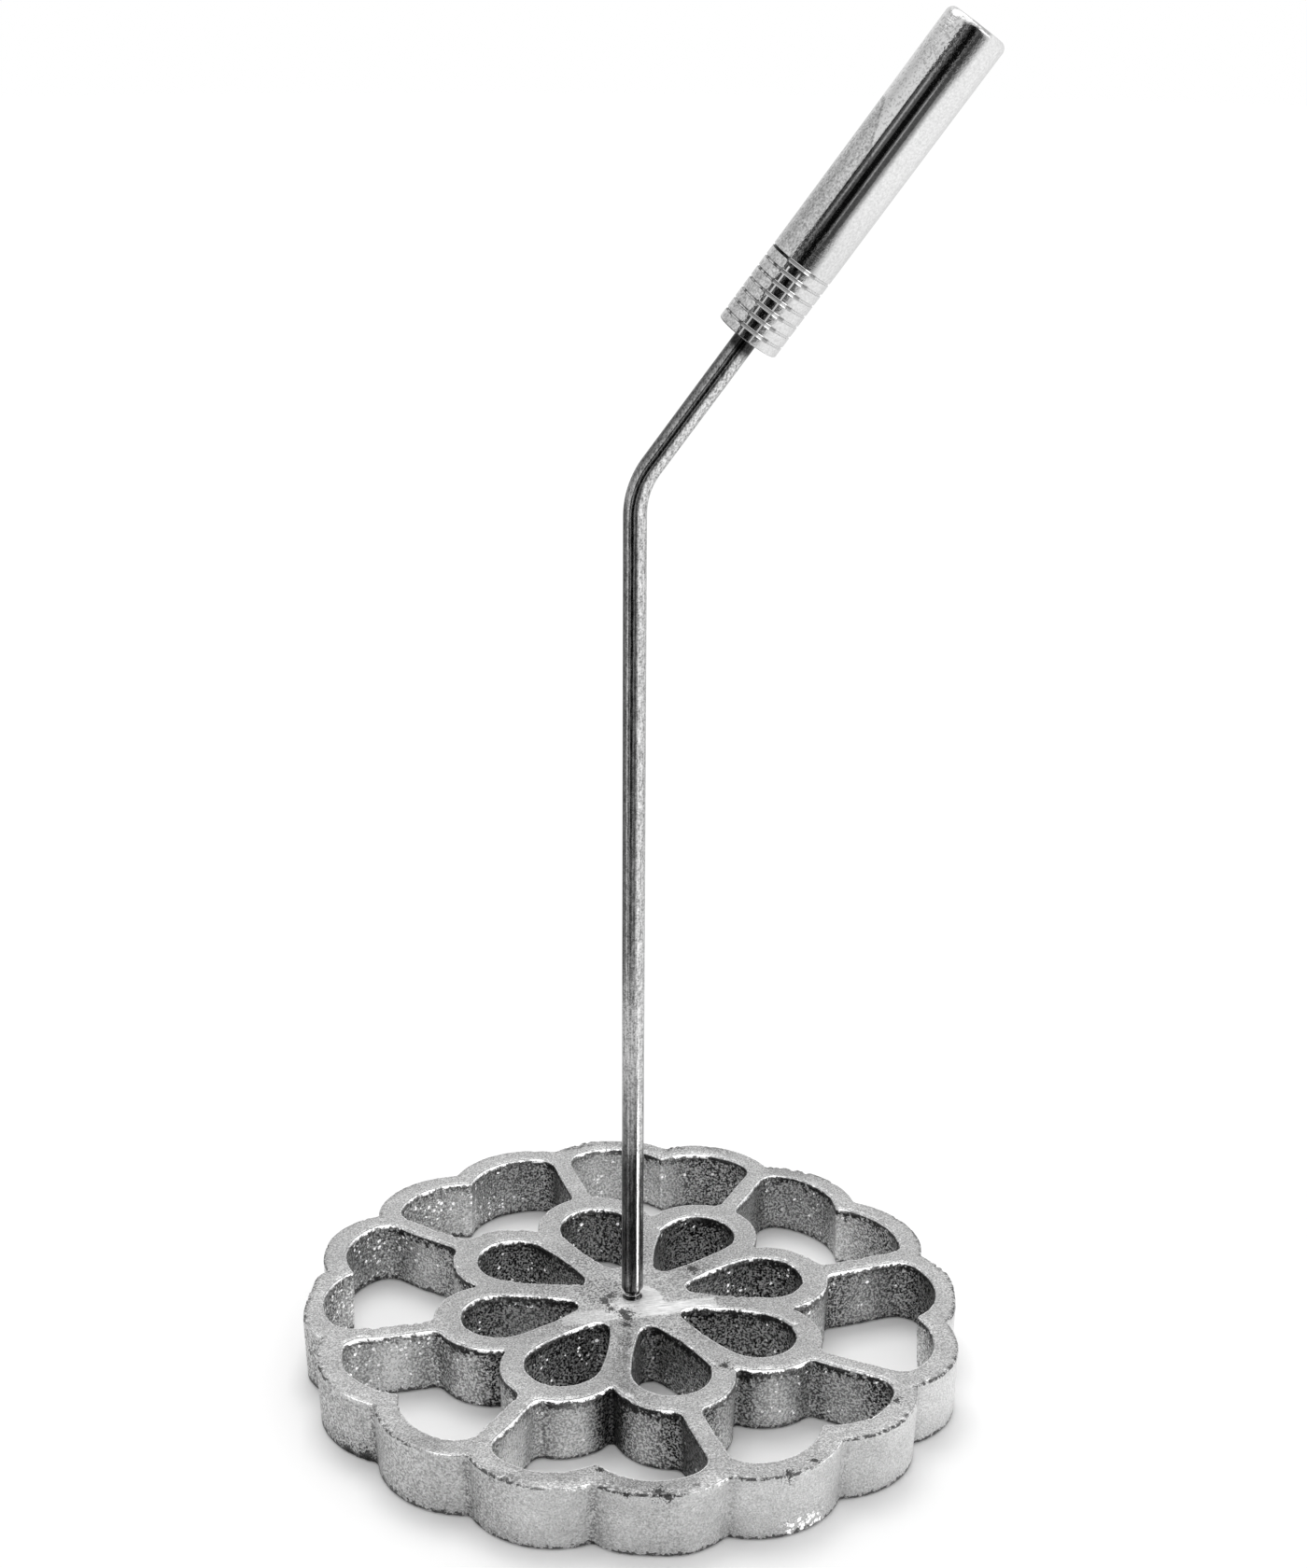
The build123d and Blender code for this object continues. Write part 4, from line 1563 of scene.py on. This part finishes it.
def build_polished_steel():
    """Drawn and polished steel, with faint lengthwise lines and a fine grain, and painted reflection,
    highlight and shade.
    """
    material, tree = new_material("polished_steel")
    place = Field(add(tree, "TexCoord").outputs["Object"])
    height = split(place)[2] * (1 / MM)
    drawn = grains(place, drawn_width, detail=2.0, stretch=(1, 1, drawn_stretch))
    grain = grains(place, steel_grain, detail=1.0, roughness=0.7)
    tone = varied(grain + drawn, (0.75, 1.25), steel_tones)
    # a painted reflection: dark on the lower part, with light stripes
    stripe_tone, brightest = find_painted_stripes(degrees_round(place), height)
    dark_reflection = spread(height, (top + dark_reflection_full, top + dark_reflection_from), (1, 0))
    tone = smaller(tone * varied(dark_reflection, (0, 1), (1.0, stripe_tone)), 1.0)
    # painted shade from the rod's mark
    tone = tone * (1.0 - marked(tree, "dull"))
    # a painted highlight on the bead, and painted shade in the two rings
    bead_highlight = between(height, top + painted_shade_rings[0][1], top + painted_shade_rings[1][0])
    tone = mixed(bead_highlight, tone, grey(bead_highlight_tone))
    for low, high, darkness in painted_shade_rings:
        tone = mixed(between(height, top + low, top + high) * darkness, tone, grey(shade_ring_tone))
    roughness = varied(drawn, (0.3, 0.7), steel_roughness)
    lift = larger((brightest * dark_reflection) * rubbed_lift, bead_highlight)
    normal = lifted_by(bumped(drawn + grain, steel_relief), lift)
    show_metal(tree, as_colour(tone), 1.0, roughness, normal)
    return material


polished_steel = build_polished_steel()
rod = new_piece(
    "bent_rod", rod_mesh, rod_mesh.points, "rod", polished_steel, "rod", marks=["dull"],
)
print("the rod has", len(rod.data.polygons), "faces")

# %% [markdown]
# The screw is turned on the same bar. On the real rod it turns with the rod, so its mesh rides on the rod's
# body, although the CAD cylinder that it stands for only rises. Each point's radius follows the thread's
# profile, which winds up by one pitch for each turn round.

# %% Build the screw
thread_radius = 2.0         # mm
thread_pitch = 0.7
thread_depth = 0.38
thread_low, thread_high = (corner.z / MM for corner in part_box("threaded_end"))
tip_chamfer = 0.5
screw_sides, rows_per_turn = 40, 14
flank_height, flank_steepness = 1.35, 3.375     # a groove's depth over its width, cut off at 0 and 1


def build_screw():
    """The threaded end, with its tip chamfered."""
    screw, around = Mesh(), round_about(screw_sides)
    turns = (thread_high - thread_low) / thread_pitch
    rings = []
    for level in np.linspace(thread_low, thread_high, int(turns * rows_per_turn)):
        wound = (level / thread_pitch - around / (2 * math.pi)) % 1.0
        groove = np.clip(flank_height - flank_steepness * np.abs(wound - 0.5), 0, 1)
        tip = thread_radius - max(tip_chamfer - (level - thread_low), 0)
        radius = np.minimum(thread_radius - thread_depth * groove, tip)
        levels = np.full(screw_sides, level)
        rings.append(screw.ring(np.column_stack([radius * np.cos(around), radius * np.sin(around), levels])))
    screw.tube(rings)
    return screw


screw_mesh = build_screw()
screw = new_piece(
    "rod_screw", screw_mesh, screw_mesh.points, "rod", polished_steel, "threaded_end",
    marks=[],
)
screw_turns = round((thread_high - thread_low) / thread_pitch, 1)
print("the screw has", screw_turns, "turns and", len(screw.data.polygons), "faces")

# %% [markdown]
# The handle came off a lathe: one profile, spun round the slope of the rod. Seven fine grooves near the mouth
# give the fingers a grip. Their edges are broken by a small flank on each side, which is a row of faces of
# its own here. The rows in the grooves are marked, so that the finish can darken, whiten and light them.

# %% Profile of the handle
handle_radius = 6.9         # mm
handle_length = 74.49       # a hair less than the CAD's, to stay in its box
handle_end_round, end_rows = 1.6, 8
handle_mouth_round, mouth_rows = 0.3, 5
bore_radius = 2.5
bore_depth = 25.0
bore_lip = 0.02             # the bore's sharp edge, broken
grooves = 7
first_groove = 2.35         # mm from the mouth
groove_pitch = 2.6
groove_radius, groove_rows = 0.3, 9
flank_reach = 0.55          # mm from a groove's middle to the end of its broken edge
shaft_rows = 18
last_groove = first_groove + (grooves - 1) * groove_pitch
handle_start = bend_corner + slope * bare_slope
handle_side = Vector((0, 1, 0)).cross(slope)        # to the right, square to the handle


def handle_profile():
    """Distance along the handle and radius, from the bore's bottom out over the mouth to the closed end."""
    profile = [(bore_depth, 0.0), (bore_depth, bore_radius), (bore_lip, bore_radius)]
    profile += [(0, bore_radius + bore_lip), (0, (bore_radius + handle_radius) / 2)]
    for turn in np.linspace(0, math.pi / 2, mouth_rows):
        radius = handle_radius - handle_mouth_round * (1 - math.sin(turn))
        profile.append((handle_mouth_round * (1 - math.cos(turn)), radius))
    for groove in range(grooves):
        middle = first_groove + groove * groove_pitch
        profile.append((middle - flank_reach, handle_radius))
        for turn in np.linspace(math.pi, 0, groove_rows):
            radius = handle_radius - groove_radius * math.sin(turn)
            profile.append((middle + groove_radius * math.cos(turn), radius))
        profile.append((middle + flank_reach, handle_radius))
    shaft = np.linspace(last_groove + flank_reach, handle_length - handle_end_round, shaft_rows)
    profile += [(along, handle_radius) for along in shaft[1:-1]]
    for turn in np.linspace(0, math.pi / 2, end_rows):
        radius = handle_radius - handle_end_round * (1 - math.cos(turn))
        profile.append((handle_length - handle_end_round * (1 - math.sin(turn)), radius))
    return profile + [(handle_length, handle_radius / 2), (handle_length, 0.0)]


print("the grooves reach", round(last_groove + groove_radius, 2), "mm from the mouth")

# %% [markdown]
# The profile is spun round the handle's axis, from the bottom of the bore out over the mouth to the closed
# end, where the last ring shrinks to a point. The rod fills the bore, so nothing of it shows, but the handle
# is whole.

# %% Build the handle
handle_sides = 128
last_groove_shade = 1        # how much darker, as painted shade, the last groove's left side is marked


def groove_marks(along, radius, around):
    """How far a ring lies in a groove, from 0 to 1 or more, and whether it is on a groove's walls."""
    in_grip = first_groove - groove_pitch < along < last_groove + groove_pitch
    in_groove = in_grip and handle_radius - 2 * groove_radius < radius < handle_radius - 1e-6
    groove = float(in_groove)
    if in_groove and abs(along - last_groove) < groove_radius:
        groove = 1 + last_groove_shade * np.clip(-np.cos(around), 0, 1)
    from_groove = (along - first_groove + groove_pitch / 2) % groove_pitch - groove_pitch / 2
    near_groove = first_groove - 1 < along < last_groove + 1 and abs(from_groove) < groove_radius + 0.01
    return {"groove": groove, "flank": float(near_groove)}


def build_handle():
    """The profile spun round the handle's axis."""
    bar, around = Mesh(), round_about(handle_sides)
    rings = []
    for along, radius in handle_profile():
        middle = handle_start + slope * along
        if radius == 0:
            rings.append(bar.ring([middle]))
            continue
        ring = [middle + handle_side * (radius * math.cos(turn)) + Vector((0, radius * math.sin(turn), 0))
                for turn in around]
        rings.append(bar.ring(ring, **groove_marks(along, radius, around)))
    for lower, upper in zip(rings, rings[1:]):
        if lower[1] > 1 and upper[1] > 1:
            bar.skin(upper, lower)
            continue
        tip, ring = (lower, upper) if lower[1] == 1 else (upper, lower)
        for column in range(ring[1]):
            face = (tip[0], ring[0] + column, ring[0] + (column + 1) % ring[1])
            bar.faces.append(face if tip is upper else face[::-1])
    return bar


handle_mesh = build_handle()
print("the handle's mesh has", len(handle_mesh.points), "points")

# %% [markdown]
# Lathe work shows as fine rings round the bar, so the finish needs a coordinate along the handle. A Mapping
# node turns the object's own coordinates until their Z runs along it. The left side carries a darker painted
# reflection, which ends in a wedge towards the tip with a thin dark line along its edge. The right side is
# painted lighter, as painted reflection too.

# %% Painted reflection on the handle
turning_width, turning_stretch = 0.25, 40       # mm
handle_grain, handle_cloud = 0.50, 5.0          # mm
left_to_right = (-0.25, 0.25)       # in radii across the handle, over which the lighter, painted right side begins
left_tones, right_tones = (0.50, 1.16), (0.74, 0.94)
reflection_top = 53.0             # mm from the mouth where the painted reflection on the handle's left side ends
reflection_slope = 0.06           # how much wider the painted reflection gets for each mm towards the mouth, in radii
reflection_ragged, reflection_blur = (-0.05, 0.05), (-0.02, 0.02)
left_outline = 0.95         # in radii
reflection_middle, reflection_middle_tones = (30, 45), (0.84, 0.90)         # mm from the mouth, and the painted reflection's tone there
reflection_mouth, reflection_mouth_tones = (18, 22), (1.14, 1)
# near the tip the left side is painted lighter, and a thin dark line is painted along the reflection's edge
lit_tip_part, lit_tip_tones = (56, 68), (1.24, 1.08)
line_from_edge, line_reach, line_tone = 0.04, (0.02, 0.05), 0.80
rubbed_part, rubbed_side_tones = (20, 45), (0.94, 1.02)


def painted_reflection_tone(here):
    """What the painted reflection leaves of the tone: darker on the left side, lighter on the right."""
    edge = here.across + here.from_mouth * reflection_slope
    edge = edge + varied(grains(here.along, handle_cloud, detail=3.0), (0.3, 0.7), reflection_ragged)
    edge = edge - (reflection_slope * reflection_top - left_outline)
    reflection = spread(here.from_mouth, reflection_middle, reflection_middle_tones)
    reflection = reflection * spread(here.from_mouth, reflection_mouth, reflection_mouth_tones)
    left = mixed(spread(edge, reflection_blur), reflection, spread(here.from_mouth, lit_tip_part, lit_tip_tones))
    left = left * spread(abs(edge + line_from_edge), line_reach, (line_tone, 1))
    return mixed(here.rubbed, left, spread(here.from_mouth, rubbed_part, rubbed_side_tones))


print("the film ends", reflection_top, "mm from the mouth")

# %% [markdown]
# Where the hand holds the handle, at both ends, the polish has gone soft and rougher, and there the middle of
# what the camera sees is painted darker, as painted reflection. In the grooves lie dirt and painted shade on
# the left, where the last groove is painted nearly black, and painted light on the right. Where the view goes
# straight into them, the grooves are painted a pale grey that isn't metal, light lines are painted across
# them, and a highlight is painted once on the flank of each groove, where it faces the light on the right.

# %% Grooves and grip, with painted light and shade
# dirt and painted shade in the grooves on the left, painted light in them on the right
dirt_and_shade_size, dirt_and_shade_tones, groove_light_tone = 1.4, (0.10, 0.56), 0.74
black_groove, black_tone = (1.1, 1.7), 0.01         # the groove mark past which it is nearly black
near_grip, near_tip = (20, 32), (56, 70)            # mm from the mouth, the two ends that are handled
# how much darker the middle of the handled ends is painted, as painted reflection
dark_middle_reach, dark_middle_shares = (0.25, 0.45), (0.45, 0)
lit_line = 0.04             # a painted light line crosses the grooves this far right of the middle, in radii
left_lit_line = -0.33       # and another one here
lit_line_reach = (0.02, 0.04)
line_width, lighter_right_of_line = 0.04, 0.9
grip_blur = 1.5             # mm
glint_place, glint_reach = 0.19, (0.06, 0.11)       # where in radii a highlight is painted on each groove
seen_straight = (0.42, 0.50)        # radii from the middle, within which the view goes into the grooves
# tones of the painted light lines and of the pale painted grooves
lit_tone, lit_groove_tone = 0.29, 0.50
flank_faces = (0.49, -0.832, 0.254)                 # where the sunken flanks of the grooves face
on_flank, lit_groove_range = (0.2, 0.6), (0.2, 0.8)        # how the marks of flank and groove count as there or not


def find_grip(here):
    """Where the handle is handled, the stretch of the grooves, and how much darker the middle is painted."""
    handled = larger(spread(here.from_mouth, near_grip, (1, 0)), spread(here.from_mouth, near_tip))
    in_grip = spread(here.from_mouth, (last_groove - grip_blur, last_groove), (1, 0))
    painted_dark_middle = handled * spread(abs(here.across), dark_middle_reach, dark_middle_shares)
    clean = in_grip * spread(here.across, (lit_line, lit_line + line_width), (0, lighter_right_of_line))
    return handled, in_grip, painted_dark_middle * (1.0 - clean)


def groove_tones(here, tone):
    """The tone in the grooves: dirt and painted shade on the left, painted light on the right, and the last
    groove's left side painted nearly black.
    """
    dirt_and_shade = spread(grains(here.along, dirt_and_shade_size), (0.40, 0.58), dirt_and_shade_tones)
    tone = mixed(varied(here.groove, (0, 1), (0, 1)), tone, mixed(here.rubbed, dirt_and_shade, grey(groove_light_tone)))
    return mixed(varied(here.groove, black_groove, (0, 1)), tone, grey(black_tone))


def groove_lights(here, in_grip):
    """Where light is painted on the grooves: lines where the flanks face the light, pale grooves where the
    view goes straight in, and a highlight on each flank.
    """
    in_groove = spread(here.flank, on_flank)
    glint = spread(abs(here.across - glint_place), glint_reach, (1, 0)) * in_groove
    in_front = spread(abs(here.across), seen_straight, (1, 0)) * in_groove
    from_line = smaller(abs(here.across - lit_line), abs(here.across - left_lit_line))
    in_line = spread(from_line, lit_line_reach, (1, 0)) * in_grip
    lit_grooves = in_front * spread(here.groove, lit_groove_range)
    return larger(in_front, in_line), lit_grooves, glint


print("each groove glints", glint_place, "radii right of the middle")

# %% [markdown]
# The handle's finish is put together from these. The rings from the lathe make a very shallow relief, deeper
# where hands have worn the polish off, and the normals of the grooves' flanks are turned to where the flanks
# face.

# %% Finish of the handle
ring_roughness, handled_roughness, groove_roughness = (0.05, 0.12), 0.05, 0.34
ring_relief = 0.004         # mm
handled_relief = 11         # times as deep


def build_turned_aluminium():
    """Turned and polished aluminium, with fine rings round the handle, and painted reflection, light and
    shade.
    """
    material, tree = new_material("turned_aluminium")
    place = Field(add(tree, "TexCoord").outputs["Object"])
    here = SimpleNamespace(along=turned_place(place, (0, -bend_turn, 0)))
    to_side, _, to_tip = split(here.along)
    here.from_mouth = to_tip * (1 / MM) - handle_start.dot(slope)
    here.across = (to_side * (1 / MM) - handle_start.dot(handle_side)) * (1 / handle_radius)
    # the share of the right side, which is painted lighter as a painted reflection
    here.rubbed = spread(here.across, left_to_right)
    here.groove, here.flank = marked(tree, "groove"), marked(tree, "flank")
    rings = grains(here.along, turning_width, stretch=(turning_stretch, turning_stretch, 1))
    grain = grains(here.along, handle_grain, detail=1.0, roughness=0.7)

    left, clean = varied(grain, (0.3, 0.7), left_tones), varied(grain, (0.3, 0.7), right_tones)
    tone = groove_tones(here, mixed(here.rubbed, left, clean) * painted_reflection_tone(here))
    handled, in_grip, painted_dark_middle = find_grip(here)
    lit, lit_grooves, glint = groove_lights(here, in_grip)
    # painted light lines over the painted darker middle, then the pale painted grooves and the painted
    # highlights
    tone = mixed(lit, tone * (1.0 - painted_dark_middle), grey(lit_tone))
    tone = mixed(lit_grooves, tone, grey(lit_groove_tone))
    tone = mixed(glint, tone, grey(1.0))

    roughness = varied(rings, (0.3, 0.7), ring_roughness) + handled * handled_roughness
    roughness = larger(roughness, varied(here.groove, (0, 1), (0, groove_roughness)))
    normal = bumped((rings + grain) * spread(handled, (0, 1), (1, handled_relief)), ring_relief)
    flank_normal = Field(add(tree, "CombineXYZ", dict(enumerate(flank_faces))).outputs[0])
    normal = vectors("NORMALIZE", mixed(lit, normal, flank_normal))
    show_metal(tree, as_colour(tone), 1.0 - lit_grooves, roughness, normal)
    return material


turned_aluminium = build_turned_aluminium()
handle = new_piece(
    "grooved_handle", handle_mesh, handle_mesh.points, "rod", turned_aluminium, "handle",
    marks=["groove", "flank"],
)
print("the handle has", len(handle.data.polygons), "faces")

# %% [markdown]
# Last, the view settings stay plain, so that a colour renders as it is written.

# %% Finish
bpy.context.scene.view_settings.view_transform = "Standard"
